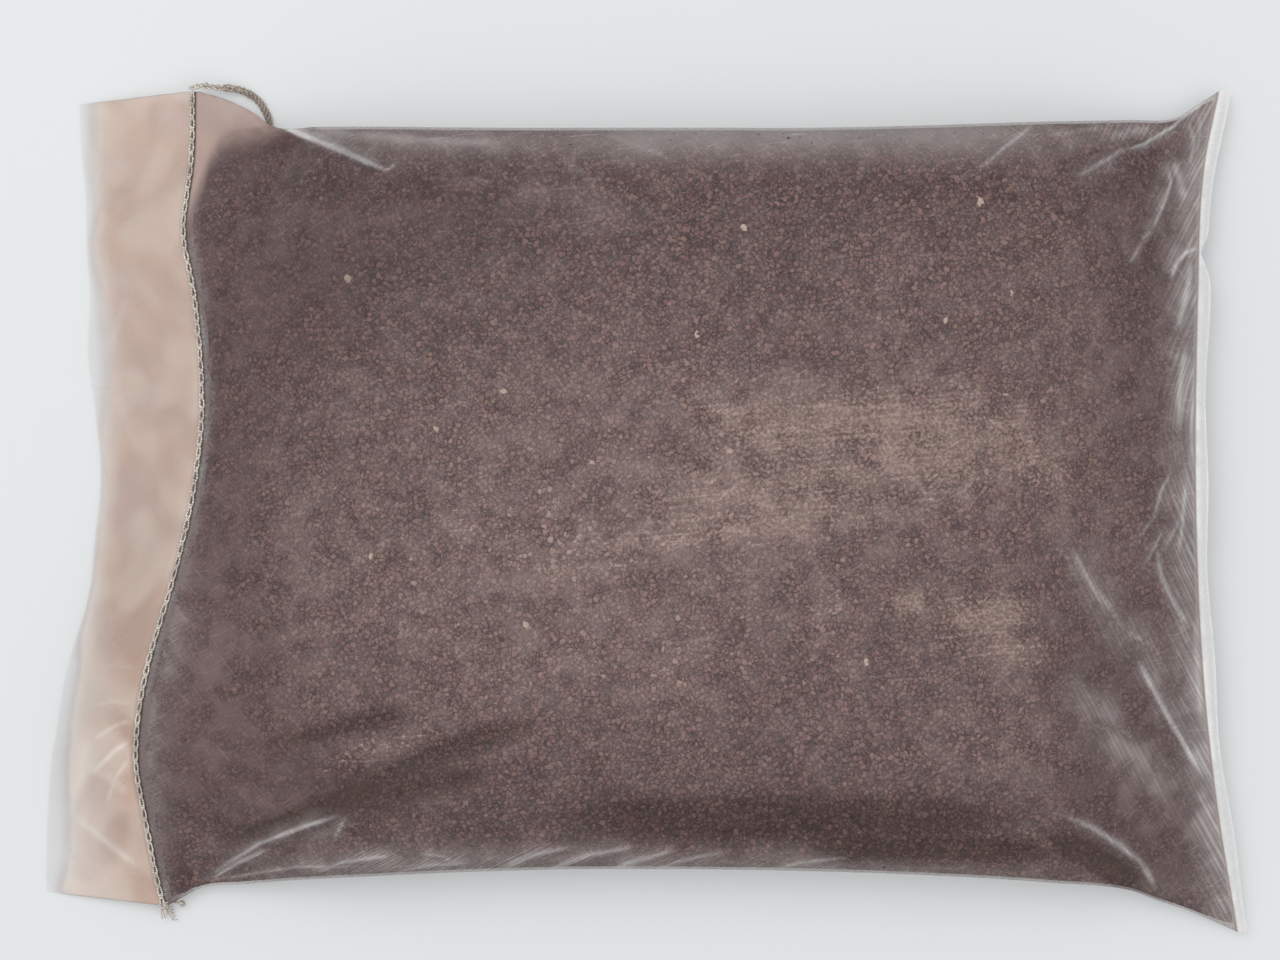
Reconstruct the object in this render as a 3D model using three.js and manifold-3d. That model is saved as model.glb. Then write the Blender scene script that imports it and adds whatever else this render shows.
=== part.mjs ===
// Clear film bag of aquarium gravel, lying flat on a table.
// A lay-flat film tube is heat sealed across one end, filled, and sewn shut across the other with a chain
// stitch.
// Millimetres. X runs from the sewn mouth to the heat seal, Y runs across the bag, Z is up from the table.

import * as THREE from 'three';
import { LoftGeometry } from 'three/addons/geometries/LoftGeometry.js';
import { mergeVertices } from 'three/addons/utils/BufferGeometryUtils.js';
import Module from 'manifold-3d';

const { clamp, degToRad, lerp, smoothstep } = THREE.MathUtils;
const wasm = await Module();
wasm.setup();

// The filled bag
const bodyLength = 602.5; // closing seam to heat seal, along the middle
const bodyHalfWidth = 222; // middle of the filled bag to its side
const fillHeight = 88; // table to the crown
const sideHeight = 34; // table to the widest line of the filled sides
const crownDip = 14; // crown to the top of the fill at the closing seam
const slackLength = 60; // corner that the gravel hasn't reached, along the upper side
const slackWidth = 80; // and along the closing seam

// The film
const filmThickness = 0.7; // one layer
const layerGap = 0.75; // air between the two layers where the bag is empty
const flapLength = 71.5; // closing seam to the open edge, along the film
const skirtWidth = 8; // heat seal to the cut edge
const sealLand = 1.5; // end of the filled bag to where the layers are fused
const seamLand = 4; // film pinched flat on each side of the stitches
const mouthHeight = 1.4; // open edge above the table
const mouthDrawIn = 6.2; // open edge narrower than the closing seam, on each side

// The two closed ends
const seamSway = 33; // most that the closing seam bows out
const seamLift = 42; // most that it stands above the table
const sealSway = 28; // most that the heat seal bows out
const sealLift = 24; // most that it stands above the table
const neckFlare = 24.5; // closing seam past the side of the filled bag
const neckLength = 45; // closing seam to where the filled side begins
const upperEar = 24.5; // heat seal past the upper side
const lowerEar = 41; // heat seal past the lower side
const earLength = 60; // heat seal to where the filled side begins

// How the filled ends rise and turn under
const crownRise = 190; // end to where the top film reaches the crown
const heelRise = 60; // end to where the lower film meets the table
const endReach = 120; // end to where the edge has climbed to the side height
const earReach = 110; // end to where the flat corner ears have become round sides
const foldReach = 20; // end to where the folds of the top film stand at full height
const roundSide = { spread: 3, bulge: 2, contact: 0.86 }; // cross-section of the filled middle
const flatEar = { spread: 1.7, bulge: 1.05, contact: 0.6 }; // cross-section of the flat ends

// The gravel
const grainSize = 4; // the fill stops where the layers are this close
const fillEnd = 0.5; // half width of the blunt ends of the fill, as a share of the bag
const seatGap = 0.3; // gravel to the film that it rests on
const headroom = 2.2; // gravel to the film above and around it

// The closing thread
const stitchPitch = 7.4;
const threadDiameter = 1.1;
const legWidth = 0.9; // thread drawn tight through a needle hole
const chainWidth = 3.4; // across an open chain link
const knotWidth = 1.9; // across the chain where a link closes
const threadGap = 0.42; // thread to the film that it lies on or passes through
const tailDiameter = 3;
const cutEnd = 11; // chain hanging past the lower side of the bag
const chainOver = 1.5; // sewn chain past the upper side of the bag

// Mesh fineness
const flapSteps = 4;
const bodySteps = 36;
const acrossSteps = 24;
const endCrowding = 0.6; // share of the way from even steps to steps crowded at the ends
const sideCrowding = 0.7;

const layers = 2 * filmThickness + layerGap;

// A smooth curve through [place, value] pairs
function curveThrough(pairs) {
  const curve = new THREE.CubicInterpolant(pairs.map((p) => p[0]), pairs.map((p) => p[1]), 1);
  return (place) => curve.evaluate(place)[0];
}

// Lines across the bag, from the lower side at -1 to the upper side at 1, as shares of their greatest reach
const seamBow = curveThrough([
  [-1, -0.64], [-0.77, -0.88], [-0.63, -1], [-0.42, -0.79], [-0.2, -0.33], [0, 0],
  [0.2, 0.15], [0.49, 0], [0.65, -0.21], [0.83, -0.09], [1, -0.09],
]);
const seamRise = curveThrough([
  [-1, 0.21], [-0.82, 0.62], [-0.55, 1], [-0.25, 0.98], [0, 0.81], [0.3, 0.6], [0.65, 0.5], [1, 0.21],
]);
const sealBow = curveThrough([
  [-1, 1], [-0.7, 0.51], [-0.4, 0.18], [0, 0], [0.5, 0.07], [0.8, 0.22], [1, 0.58],
]);
const sealRise = curveThrough([[-1, 0.33], [-0.7, 0.62], [0, 1], [0.7, 0.7], [1, 0.42]]);

// How a side runs out to a corner, by distance from that end of the bag in neck or ear lengths
const upperNeck = curveThrough([
  [0, 1], [0.36, 0.8], [0.7, 0.49], [1, 0.1], [1.6, 0.06], [4, 0], [5, 0], [40, 0],
]);
const lowerNeck = curveThrough([
  [0, 1], [0.2, 0.78], [0.4, 0.58], [0.95, 0.45], [1.9, 0.26], [5, 0], [6, 0], [40, 0],
]);
const upperEarLine = curveThrough([
  [0, 1], [0.2, 0.68], [0.42, 0.34], [0.9, 0.25], [1.7, 0.16], [4, 0], [5, 0], [40, 0],
]);
const lowerEarLine = curveThrough([
  [0, 1], [0.4, 0.72], [0.78, 0.5], [1.05, 0.34], [1.8, 0.2], [3.2, 0.07], [5, 0], [6, 0], [40, 0],
]);

// How far the crown is below its highest place, along the bag
const crownLine = curveThrough([[0, 1], [0.25, 0.36], [0.55, 0], [0.8, 0.21], [1, 0.71]]);

const seamLine = (across) => seamSway * seamBow(across);
const seamHeight = (across) => seamLift * seamRise(across);
const sealLine = (across) => sealSway * sealBow(across);
const sealHeight = (across) => sealLift * sealRise(across);

// Folds of the top film: a line of [share of the length, place across] points, its height in mm, which is
// below zero for a valley, and its half width in mm
const folds = [
  { line: [[0.87, 0.85], [0.92, 0.92], [0.975, 0.99]], height: 3.6, width: 7 },
  { line: [[0.83, -0.81], [0.89, -0.9], [0.93, -0.99]], height: 3.8, width: 6 },
  { line: [[0.845, -0.89], [0.92, -0.99]], height: -3, width: 7 },
  { line: [[0.885, -0.2], [0.945, -0.46], [1, -0.66]], height: 2.8, width: 8 },
  { line: [[0.96, -0.15], [0.995, -0.31]], height: 2.4, width: 9 },
  { line: [[0.98, 0.37], [0.995, 0.49], [0.993, 0.62]], height: 2.2, width: 9 },
  { line: [[0.93, 0.63], [0.96, 0.75], [0.968, 0.89]], height: 2.2, width: 8 },
  { line: [[0.775, 0.88], [0.82, 0.99]], height: 2.6, width: 7 },
  { line: [[0.4, 0.98], [0.48, 0.89]], height: 1.4, width: 8 },
  { line: [[0.11, 1], [0.14, 0.955], [0.195, 0.875]], height: 3.6, width: 7 },
  { line: [[0.03, -0.99], [0.095, -0.91], [0.185, -0.825]], height: 3.6, width: 7 },
  { line: [[0.135, -0.99], [0.225, -0.94]], height: 2, width: 7 },
  { line: [[0.335, -1], [0.42, -0.925]], height: 2.5, width: 8 },
  { line: [[0.435, -1], [0.51, -0.935]], height: 2.2, width: 8 },
  { line: [[0.125, -0.82], [0.17, -0.75], [0.24, -0.69], [0.355, -0.6]], height: -3.5, width: 13 },
  { line: [[0.16, -0.655], [0.24, -0.59]], height: -2.2, width: 10 },
];

// Height of one fold at a place on the top film
function foldHeight({ line, height, width }, along, across) {
  const [place, ...corners] = [[along, across], ...line].map(([share, side]) => {
    return new THREE.Vector3(share * bodyLength, side * bodyHalfWidth, 0);
  });
  const distances = corners.slice(1).map((end, k) => {
    const stretch = new THREE.Line3(corners[k], end);
    return stretch.closestPointToPoint(place, true, new THREE.Vector3()).distanceTo(place);
  });
  return height * Math.exp(-((Math.min(...distances) / width) ** 2));
}

// Low swells of the top film over the packed gravel: wave length in mm, heading in degrees from X, phase in
// radians and height in mm
const swells = [
  { length: 140, heading: 20, phase: 0.3, height: 0.7 },
  { length: 96, heading: 105, phase: 2, height: 0.5 },
  { length: 61, heading: 60, phase: 4.1, height: 0.3 },
];

function swellHeight({ length, heading, phase, height }, x, y) {
  const run = x * Math.cos(degToRad(heading)) + y * Math.sin(degToRad(heading));
  return height * Math.sin((2 * Math.PI * run) / length + phase);
}

// How far a film climbs from an end of the bag, 0 at the end and 1 past its reach
function climb(distance, reach) {
  return 1 - (1 - clamp(distance / reach, 0, 1)) ** 2;
}

// Plan place of the film across a line of the bag, at a distance along it from the closing seam
function acrossBag(fromSeam, across) {
  const necks = fromSeam / neckLength;
  const ears = (bodyLength - fromSeam) / earLength;
  const upper = neckFlare * upperNeck(necks) + upperEar * upperEarLine(ears);
  const lower = neckFlare * lowerNeck(necks) + lowerEar * lowerEarLine(ears);
  return across * (bodyHalfWidth + (across > 0 ? upper : lower));
}

// The filled film at a share of the length and a place across: its plan place, top and underside
function bodyFilm(along, across) {
  const fromSeam = along * bodyLength;
  const fromSeal = bodyLength - fromSeam;
  const nearSeam = 1 - smoothstep(fromSeam, 0, endReach);
  const nearSeal = 1 - smoothstep(fromSeal, 0, endReach);
  const edge = seamHeight(across) * nearSeam + sealHeight(across) * nearSeal
    + sideHeight * (1 - nearSeam - nearSeal);

  const ear = 1 - smoothstep(Math.min(fromSeam, fromSeal), 0, earReach);
  const spread = lerp(roundSide.spread, flatEar.spread, ear);
  const bulge = lerp(roundSide.bulge, flatEar.bulge, ear);
  const contact = lerp(roundSide.contact, flatEar.contact, ear);
  const side = Math.abs(across);
  const dome = (1 - side ** spread) ** (1 / bulge) * climb(fromSeam, crownRise) * climb(fromSeal, crownRise);
  const turnUp = clamp((side - contact) / (1 - contact), 0, 1);
  const seat = Math.sqrt(1 - turnUp ** 2) * climb(fromSeam, heelRise) * climb(fromSeal, heelRise);

  const fromCorner = fromSeam / slackLength + ((1 - across) * bodyHalfWidth) / slackWidth;
  const filled = smoothstep(fromCorner, 0.5, 1.8);
  const crown = fillHeight - crownDip * crownLine(along);
  const x = lerp(seamLine(across) + seamLand, bodyLength + sealLine(across), along);
  const y = acrossBag(fromSeam, across);
  const ridge = folds.reduce((sum, fold) => sum + foldHeight(fold, along, across), 0);
  const swell = swells.reduce((sum, wave) => sum + swellHeight(wave, x, y), 0);
  const free = (1 - side ** 24) * climb(fromSeam, foldReach) * climb(fromSeal, foldReach);
  return {
    x,
    y,
    top: edge + layers / 2 + ((crown - edge) * dome + (ridge + swell) * free) * filled,
    under: (edge - layers / 2) * (1 - seat),
  };
}

// The empty flap, from its open edge at 0 to the pinched seam at 1
function flapFilm(along, across) {
  const hang = flapLength - seamLand;
  const drop = Math.min(seamHeight(across) - mouthHeight, 0.9 * hang);
  const reach = Math.sqrt(hang ** 2 - drop ** 2);
  const height = seamHeight(across) - drop * lerp(1 - along, smoothstep(1 - along, 0, 1), 0.5);
  return {
    x: seamLine(across) - seamLand - reach * (1 - along),
    y: acrossBag(0, across) * lerp(1 - mouthDrawIn / bodyHalfWidth, 1, along),
    top: height + layers / 2,
    under: height - layers / 2,
  };
}

// The line that the stitches run along
function seamFilm(across) {
  const height = seamHeight(across);
  return {
    x: seamLine(across),
    y: acrossBag(0, across),
    top: height + layers / 2,
    under: height - layers / 2,
  };
}

// The fused strip, from where the layers meet at 0 to the cut edge at 1
function skirtFilm(along, across) {
  const height = sealHeight(across);
  return {
    x: bodyLength + sealLine(across) + lerp(sealLand, skirtWidth, along),
    y: acrossBag(bodyLength, across),
    top: height + filmThickness,
    under: height - filmThickness,
  };
}

// Steps from 0 to 1, crowded towards both ends
function crowded(count, crowding) {
  return Array.from({ length: count + 1 }, (_, k) => {
    return lerp(k / count, (1 - Math.cos((Math.PI * k) / count)) / 2, crowding);
  });
}

const acrossPlaces = crowded(acrossSteps, sideCrowding).map((share) => 1 - 2 * share);
const bodyPlaces = crowded(bodySteps, endCrowding);

// A closed ring of points around the bag: over the top from the upper side, and back underneath
function ringOf(film, inset) {
  const shrink = (y) => y * (1 - inset / bodyHalfWidth);
  const over = film.map((p) => new THREE.Vector3(p.x, shrink(p.y), p.top - inset));
  const back = film.map((p) => new THREE.Vector3(p.x, shrink(p.y), p.under + inset));
  return [...over, ...back.reverse()];
}

// The film bag is one skin: in along its inner face from the seal, round the open edge and out along its
// outer face
function filmBagGeometry() {
  const lines = [
    ...Array.from({ length: flapSteps + 1 }, (_, k) => acrossPlaces.map((v) => flapFilm(k / flapSteps, v))),
    acrossPlaces.map(seamFilm),
    ...bodyPlaces.map((u) => acrossPlaces.map((v) => bodyFilm(u, v))),
    acrossPlaces.map((v) => skirtFilm(0, v)),
  ];
  const inner = lines.map((line) => ringOf(line, filmThickness)).reverse();
  const cutEdge = acrossPlaces.map((v) => skirtFilm(1, v));
  const outer = [...lines, cutEdge].map((line) => ringOf(line, 0));
  return new LoftGeometry([...inner, ...outer], { capEnd: true });
}

// The gravel fills the bag out to where the film layers are one grain apart
function gravelGeometry() {
  const taken = 2 * filmThickness + seatGap + headroom + grainSize;
  const fills = [];
  bodyPlaces.forEach((u) => {
    const film = acrossPlaces.map((v) => bodyFilm(u, v));
    const line = new THREE.LinearInterpolant(
      acrossPlaces.map((v) => -v), film.flatMap((p) => [p.x, p.y, p.top, p.under]), 4,
    );
    const filmAt = (v) => {
      const [x, y, top, under] = line.evaluate(-v);
      return { x, y, top, under };
    };
    const filled = (v) => filmAt(v).top - filmAt(v).under > taken;
    if (!filled(fillEnd) || !filled(-fillEnd)) return;
    const upper = furthest(fillEnd, 1, filled);
    const lower = furthest(-fillEnd, -1, filled);
    const fill = acrossPlaces.map((v) => filmAt(lerp(lower, upper, (1 + v) / 2))).map((p) => ({
      x: p.x,
      y: p.y * (1 - headroom / bodyHalfWidth),
      top: p.top - headroom,
      under: p.under + lerp(seatGap, headroom, clamp(p.under / seatGap, 0, 1)),
    }));
    fills.push(fill);
  });
  const tips = [wedgeTip(fills[0], -grainSize / 2), wedgeTip(fills.at(-1), grainSize / 2)];
  const rings = [tips[0], ...fills, tips[1]].map((fill) => ringOf(fill, filmThickness));
  return new LoftGeometry(rings);
}

// The line that an end of the fill tapers to
function wedgeTip(fill, beyond) {
  return fill.map((p) => {
    const level = (p.top + p.under) / 2;
    return { x: p.x + beyond, y: p.y, top: level + filmThickness, under: level - filmThickness };
  });
}

// The last place on the way from inside to outside where a test still holds
function furthest(inside, outside, test) {
  let [kept, tried] = [inside, outside];
  for (let k = 0; k < 30; k += 1) {
    const middle = (kept + tried) / 2;
    if (test(middle)) kept = middle;
    else tried = middle;
  }
  return kept;
}

// A run of thread along a list of { centre, halfWidth } stations, with a flattened six-sided section
function threadRun(stations) {
  const half = threadDiameter / 2;
  const rings = stations.map(({ centre, halfWidth }, k) => {
    const before = stations[Math.max(k - 1, 0)].centre;
    const after = stations[Math.min(k + 1, stations.length - 1)].centre;
    const heading = after.clone().sub(before).setZ(0).normalize();
    const aside = new THREE.Vector3(-heading.y, heading.x, 0);
    const section = [[1, 0], [0.5, half], [-0.5, half], [-1, 0], [-0.5, -half], [0.5, -half]];
    return section.map(([across, up]) => {
      return centre.clone().addScaledVector(aside, across * halfWidth).add(new THREE.Vector3(0, 0, up));
    });
  });
  return new LoftGeometry(rings, { capStart: true, capEnd: true });
}

// The line of the stitches on the film, from the lower side to the upper side
const seamPath = new THREE.CurvePath();
const seamPoints = acrossPlaces.map(seamFilm).map((p) => {
  return new THREE.Vector3(p.x, p.y, (p.top + p.under) / 2);
}).reverse();
seamPoints.slice(1).forEach((point, k) => seamPath.add(new THREE.LineCurve3(seamPoints[k], point)));
const upperSideEnd = seamPoints.at(-1);
const stitchCount = Math.floor(seamPath.getLength() / stitchPitch);
const needlePoints = Array.from({ length: stitchCount }, (_, k) => {
  return seamPath.getPoint((k + 0.5) / stitchCount);
});
const runHeight = layers / 2 + threadGap + threadDiameter / 2; // middle of the film to that of a thread run

function toSolid(geometry) {
  const bare = new THREE.BufferGeometry().copy(geometry);
  bare.deleteAttribute('normal');
  bare.deleteAttribute('uv');
  const merged = mergeVertices(bare, 1e-4);
  return new wasm.Manifold(new wasm.Mesh({
    numProp: 3,
    vertProperties: merged.attributes.position.array,
    triVerts: new Uint32Array(merged.index.array),
  }));
}

function toGeometry(solid) {
  const mesh = solid.getMesh();
  const geometry = new THREE.BufferGeometry();
  geometry.setAttribute('position', new THREE.BufferAttribute(mesh.vertProperties, 3));
  geometry.setIndex(new THREE.BufferAttribute(mesh.triVerts, 1));
  geometry.computeVertexNormals();
  return geometry;
}

// A square post through the film at each needle point
function needlePosts(width, height) {
  return needlePoints.map((point) => {
    const post = new THREE.BoxGeometry(width, width, height);
    return toSolid(post.translate(point.x, point.y, point.z));
  }).reduce((all, post) => all.add(post));
}

// The sewn chain: open links on the top film, straight stitches underneath, and a leg in each needle hole
function closingThreadGeometry() {
  const above = new THREE.Vector3(0, 0, runHeight);
  const links = Array.from({ length: 2 * stitchCount }, (_, k) => ({
    centre: seamPath.getPoint((k + 0.5) / (2 * stitchCount)).add(above),
    halfWidth: (k % 2 ? chainWidth : knotWidth) / 2,
  }));
  const lowerSideEnd = links[0].centre;
  const cutStub = [1, 0.5].map((share) => ({
    centre: lowerSideEnd.clone().add(new THREE.Vector3(3 * share, -cutEnd * share, -5 * share ** 2)),
    halfWidth: knotWidth / 2,
  }));
  const lastLink = {
    centre: upperSideEnd.clone().add(above).setY(upperSideEnd.y + chainOver),
    halfWidth: knotWidth / 2,
  };
  const straight = needlePoints.map((point) => ({
    centre: point.clone().sub(above),
    halfWidth: threadDiameter,
  }));
  const chain = toSolid(threadRun([...cutStub, ...links, lastLink]));
  const legs = needlePosts(legWidth, 2 * runHeight);
  return toGeometry(chain.add(toSolid(threadRun(straight))).add(legs));
}

// The loose end of the chain: it leaves the upper side, curls over and lies on the table under the side of
// the bag.
// Each point is a step in plan from where the seam meets the side, and a height above the table.
const tailRoute = [
  [0, chainOver + 2 * threadGap, 10], [0.8, 3.6, 9.9], [4, 4, 9.3], [10, 3.2, 7.8], [16, 2.6, 6.2],
  [22, 2.6, 4.8], [28, 1.6, 3.6], [34, -0.8, 2.5], [38.5, -4, 1.9], [42.5, -9.6, 1.8], [45, -15, 1.8],
  [46.5, -21, 1.8],
];

function threadTailGeometry() {
  const points = tailRoute.map(([x, y, z]) => new THREE.Vector3(upperSideEnd.x + x, upperSideEnd.y + y, z));
  const section = new THREE.Shape().absarc(0, 0, tailDiameter / 2, 0, 2 * Math.PI);
  return new THREE.ExtrudeGeometry(section, {
    extrudePath: new THREE.CatmullRomCurve3(points),
    steps: 14,
    curveSegments: 4,
    bevelEnabled: false,
  });
}

const filmPlastic = new THREE.MeshStandardMaterial({
  color: 0xc9beb8, roughness: 0.35, metalness: 0, transparent: true, opacity: 0.4,
});
const gravelStone = new THREE.MeshStandardMaterial({ color: 0x5a4542, roughness: 0.9, metalness: 0 });
const cottonThread = new THREE.MeshStandardMaterial({ color: 0xd8cab8, roughness: 0.95, metalness: 0 });

function piece(name, geometry, material) {
  const mesh = new THREE.Mesh(geometry, material);
  mesh.name = name;
  return mesh;
}

const needleHole = legWidth + 2 * threadGap;
const film = toSolid(filmBagGeometry()).subtract(needlePosts(needleHole, 2 * runHeight));
const sewnBag = new THREE.Group().add(
  piece('film_bag', toGeometry(film), filmPlastic),
  piece('gravel_fill', gravelGeometry(), gravelStone),
  piece('closing_thread', closingThreadGeometry(), cottonThread),
);

// The origin is on the table, under the middle of the bag
const reach = new THREE.Box3().setFromObject(sewnBag);
const middle = reach.getCenter(new THREE.Vector3());
const looseTail = piece('thread_tail', threadTailGeometry(), cottonThread);
const bag = new THREE.Group().add(...sewnBag.children, looseTail);
bag.position.set(-middle.x, -middle.y, -reach.min.z);

const model = new THREE.Group().add(bag);
export default model;
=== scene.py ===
# Clear film bag of aquarium gravel lying flat, sewn across one end and heat sealed across the other.
import math

import bpy
import numpy as np
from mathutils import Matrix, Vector


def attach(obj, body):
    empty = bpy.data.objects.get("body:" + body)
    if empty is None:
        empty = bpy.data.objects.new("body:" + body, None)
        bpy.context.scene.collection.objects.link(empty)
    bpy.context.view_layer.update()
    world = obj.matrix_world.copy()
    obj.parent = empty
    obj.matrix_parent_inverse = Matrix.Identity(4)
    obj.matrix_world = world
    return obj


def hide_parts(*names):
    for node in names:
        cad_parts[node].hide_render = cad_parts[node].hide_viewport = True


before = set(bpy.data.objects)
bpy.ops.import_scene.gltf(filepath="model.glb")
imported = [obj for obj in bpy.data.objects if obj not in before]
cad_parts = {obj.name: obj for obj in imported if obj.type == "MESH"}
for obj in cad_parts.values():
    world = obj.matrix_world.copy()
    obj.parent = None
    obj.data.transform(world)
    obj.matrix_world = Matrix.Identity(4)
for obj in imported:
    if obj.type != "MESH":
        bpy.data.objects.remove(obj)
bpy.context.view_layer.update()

# measures shared by the pieces: millimetres, x from the middle of the closing seam to the heat seal, y across
bag = {
    "origin": (-272.106, 7.498),  # middle of the closing seam, in the part's frame
    "length": 602.5, "halfWidth": 222, "fillHeight": 88, "sideHeight": 34, "crownDip": 14,
    "slackLength": 60, "slackWidth": 80,
    "flap": 71.5, "skirt": 8, "sealLand": 1.5, "seamLand": 4, "mouthHeight": 1.4, "mouthDrawIn": 6.2,
    "seamSway": 33, "seamLift": 42, "sealSway": 28, "sealLift": 24,
    "neckFlare": 24.5, "neckLength": 45, "upperEar": 24.5, "lowerEar": 41, "earLength": 60,
    "crownRise": 190, "heelRise": 60, "endReach": 120, "earReach": 110,
    "layers": 1.2,  # between the two sheets where the bag is empty
    "foldPower": 40, "heldPower": 60,  # how sharply the sheets close, and creases fade, at the sides
    "domePower": (3, 1.7), "domeRoot": (2, 1.05), "contact": (0.86, 0.6),  # mid bag, and at the ears
    "slackShare": (0.5, 1.8),
}
rng = np.random.default_rng(41)


def lerp(a, b, t):
    return a + (b - a) * t


def smooth(x, low, high):
    t = np.clip((x - low) / (high - low), 0, 1)
    return t * t * (3 - 2 * t)


def curveThrough(pairs):
    # the same smooth curve as the solids have, through (place, value) pairs
    t = np.array([p[0] for p in pairs], float)
    y = np.array([p[1] for p in pairs], float)

    def at(place):
        x = np.clip(np.asarray(place, float), t[0], t[-1])
        i = np.clip(np.searchsorted(t, x, side="right"), 1, len(t) - 1)
        t0, t1 = t[i - 1], t[i]
        first, last = i == 1, i == len(t) - 1
        before = np.where(first, y[i], y[np.maximum(i - 2, 0)])
        after = np.where(last, y[i - 1], y[np.minimum(i + 1, len(t) - 1)])
        half = (t1 - t0) / 2
        wB = np.where(first, -0.5, half / np.where(first, 1, t0 - t[np.maximum(i - 2, 0)]))
        wA = np.where(last, -0.5, half / np.where(last, 1, t[np.minimum(i + 1, len(t) - 1)] - t1))
        p = (x - t0) / (t1 - t0)
        p2, p3 = p * p, p * p * p
        return ((-wB * p3 + 2 * wB * p2 - wB * p) * before
                + ((1 + wB) * p3 + (-1.5 - 2 * wB) * p2 + (-0.5 + wB) * p + 1) * y[i - 1]
                + ((-1 - wA) * p3 + (1.5 + wA) * p2 + 0.5 * p) * y[i]
                + (wA * p3 - wA * p2) * after)
    return at


# shares of the sways, lifts, flares and ears above, across the bag or along it
seamBow = curveThrough([(-1, -0.64), (-0.77, -0.88), (-0.63, -1), (-0.42, -0.79), (-0.2, -0.33), (0, 0),
                        (0.2, 0.15), (0.49, 0), (0.65, -0.21), (0.83, -0.09), (1, -0.09)])
seamRise = curveThrough([(-1, 0.21), (-0.82, 0.62), (-0.55, 1), (-0.25, 0.98), (0, 0.81), (0.3, 0.6),
                         (0.65, 0.5), (1, 0.21)])
sealBow = curveThrough([(-1, 1), (-0.7, 0.51), (-0.4, 0.18), (0, 0), (0.5, 0.07), (0.8, 0.22), (1, 0.58)])
sealRise = curveThrough([(-1, 0.33), (-0.7, 0.62), (0, 1), (0.7, 0.7), (1, 0.42)])
upperNeck = curveThrough([(0, 1), (0.36, 0.8), (0.7, 0.49), (1, 0.1), (1.6, 0.06), (4, 0), (5, 0), (40, 0)])
lowerNeck = curveThrough([(0, 1), (0.2, 0.78), (0.4, 0.58), (0.95, 0.45), (1.9, 0.26), (5, 0), (6, 0),
                          (40, 0)])
upperEarLine = curveThrough([(0, 1), (0.2, 0.68), (0.42, 0.34), (0.9, 0.25), (1.7, 0.16), (4, 0), (5, 0),
                             (40, 0)])
lowerEarLine = curveThrough([(0, 1), (0.4, 0.72), (0.78, 0.5), (1.05, 0.34), (1.8, 0.2), (3.2, 0.07), (5, 0),
                             (6, 0), (40, 0)])
crownLine = curveThrough([(0, 1), (0.25, 0.36), (0.55, 0), (0.8, 0.21), (1, 0.71)])
openEdge = curveThrough([(-1, -0.6), (-0.77, 2.4), (-0.61, 4.6), (-0.46, 3), (-0.27, 5.6), (-0.1, 2.8),
                         (0.07, 2), (0.2, -1.5), (0.36, -3.8), (0.45, -0.6), (0.55, 4), (0.68, 7.2),
                         (0.78, 4.4), (0.86, 1.8), (1, 1)])  # millimetres


def seamX(v): return bag["seamSway"] * seamBow(v)
def seamZ(v): return bag["seamLift"] * seamRise(v)
def sealX(v): return bag["length"] + bag["sealSway"] * sealBow(v)
def sealZ(v): return bag["sealLift"] * sealRise(v)


def acrossBag(fromSeam, v):
    necks, ears = fromSeam / bag["neckLength"], (bag["length"] - fromSeam) / bag["earLength"]
    upper = bag["neckFlare"] * upperNeck(necks) + bag["upperEar"] * upperEarLine(ears)
    lower = bag["neckFlare"] * lowerNeck(necks) + bag["lowerEar"] * lowerEarLine(ears)
    return v * (bag["halfWidth"] + np.where(v > 0, upper, lower))


def climb(distance, reach):
    return 1 - (1 - np.clip(distance / reach, 0, 1)) ** 2


def parted(v):
    # half the space between the sheets, closing at the folded sides
    return bag["layers"] / 2 * (1 - np.abs(v) ** bag["foldPower"])


def heldAtSides(v):
    return 1 - np.abs(v) ** bag["heldPower"]


def bodyFilm(u, v):
    fromSeam = u * bag["length"]
    fromSeal = bag["length"] - fromSeam
    nearSeam = 1 - smooth(fromSeam, 0, bag["endReach"])
    nearSeal = 1 - smooth(fromSeal, 0, bag["endReach"])
    edge = seamZ(v) * nearSeam + sealZ(v) * nearSeal + bag["sideHeight"] * (1 - nearSeam - nearSeal)
    ear = 1 - smooth(np.minimum(fromSeam, fromSeal), 0, bag["earReach"])
    side = np.abs(v)
    dome = (1 - side ** lerp(*bag["domePower"], ear)) ** (1 / lerp(*bag["domeRoot"], ear))
    dome = dome * climb(fromSeam, bag["crownRise"]) * climb(fromSeal, bag["crownRise"])
    contact = lerp(*bag["contact"], ear)
    heel = climb(fromSeam, bag["heelRise"]) * climb(fromSeal, bag["heelRise"])
    seat = np.sqrt(1 - np.clip((side - contact) / (1 - contact), 0, 1) ** 2) * heel
    fromCorner = fromSeam / bag["slackLength"] + (1 - v) * bag["halfWidth"] / bag["slackWidth"]
    filled = smooth(fromCorner, *bag["slackShare"])
    crown = bag["fillHeight"] - bag["crownDip"] * crownLine(u)
    x = lerp(seamX(v) + bag["seamLand"], sealX(v), u)
    y = acrossBag(fromSeam, v)
    return x, y, edge + parted(v) + (crown - edge) * dome * filled, (edge - parted(v)) * (1 - seat)


def flapFilm(t, v):
    hang = bag["flap"] - bag["seamLand"]
    drop = np.minimum(seamZ(v) - bag["mouthHeight"], 0.9 * hang)
    reach = np.sqrt(hang ** 2 - drop ** 2)
    z = seamZ(v) - drop * lerp(1 - t, smooth(1 - t, 0, 1), 0.5)
    x = seamX(v) - bag["seamLand"] - reach * (1 - t) + openEdge(v) * (1 - t) ** 2
    y = acrossBag(0 * v, v) * lerp(1 - bag["mouthDrawIn"] / bag["halfWidth"], 1, t)
    return x, y, z + parted(v), z - parted(v)


def seamFilm(aside, v):
    return seamX(v) + aside, acrossBag(0 * v, v), seamZ(v) + parted(v), seamZ(v) - parted(v)


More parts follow.
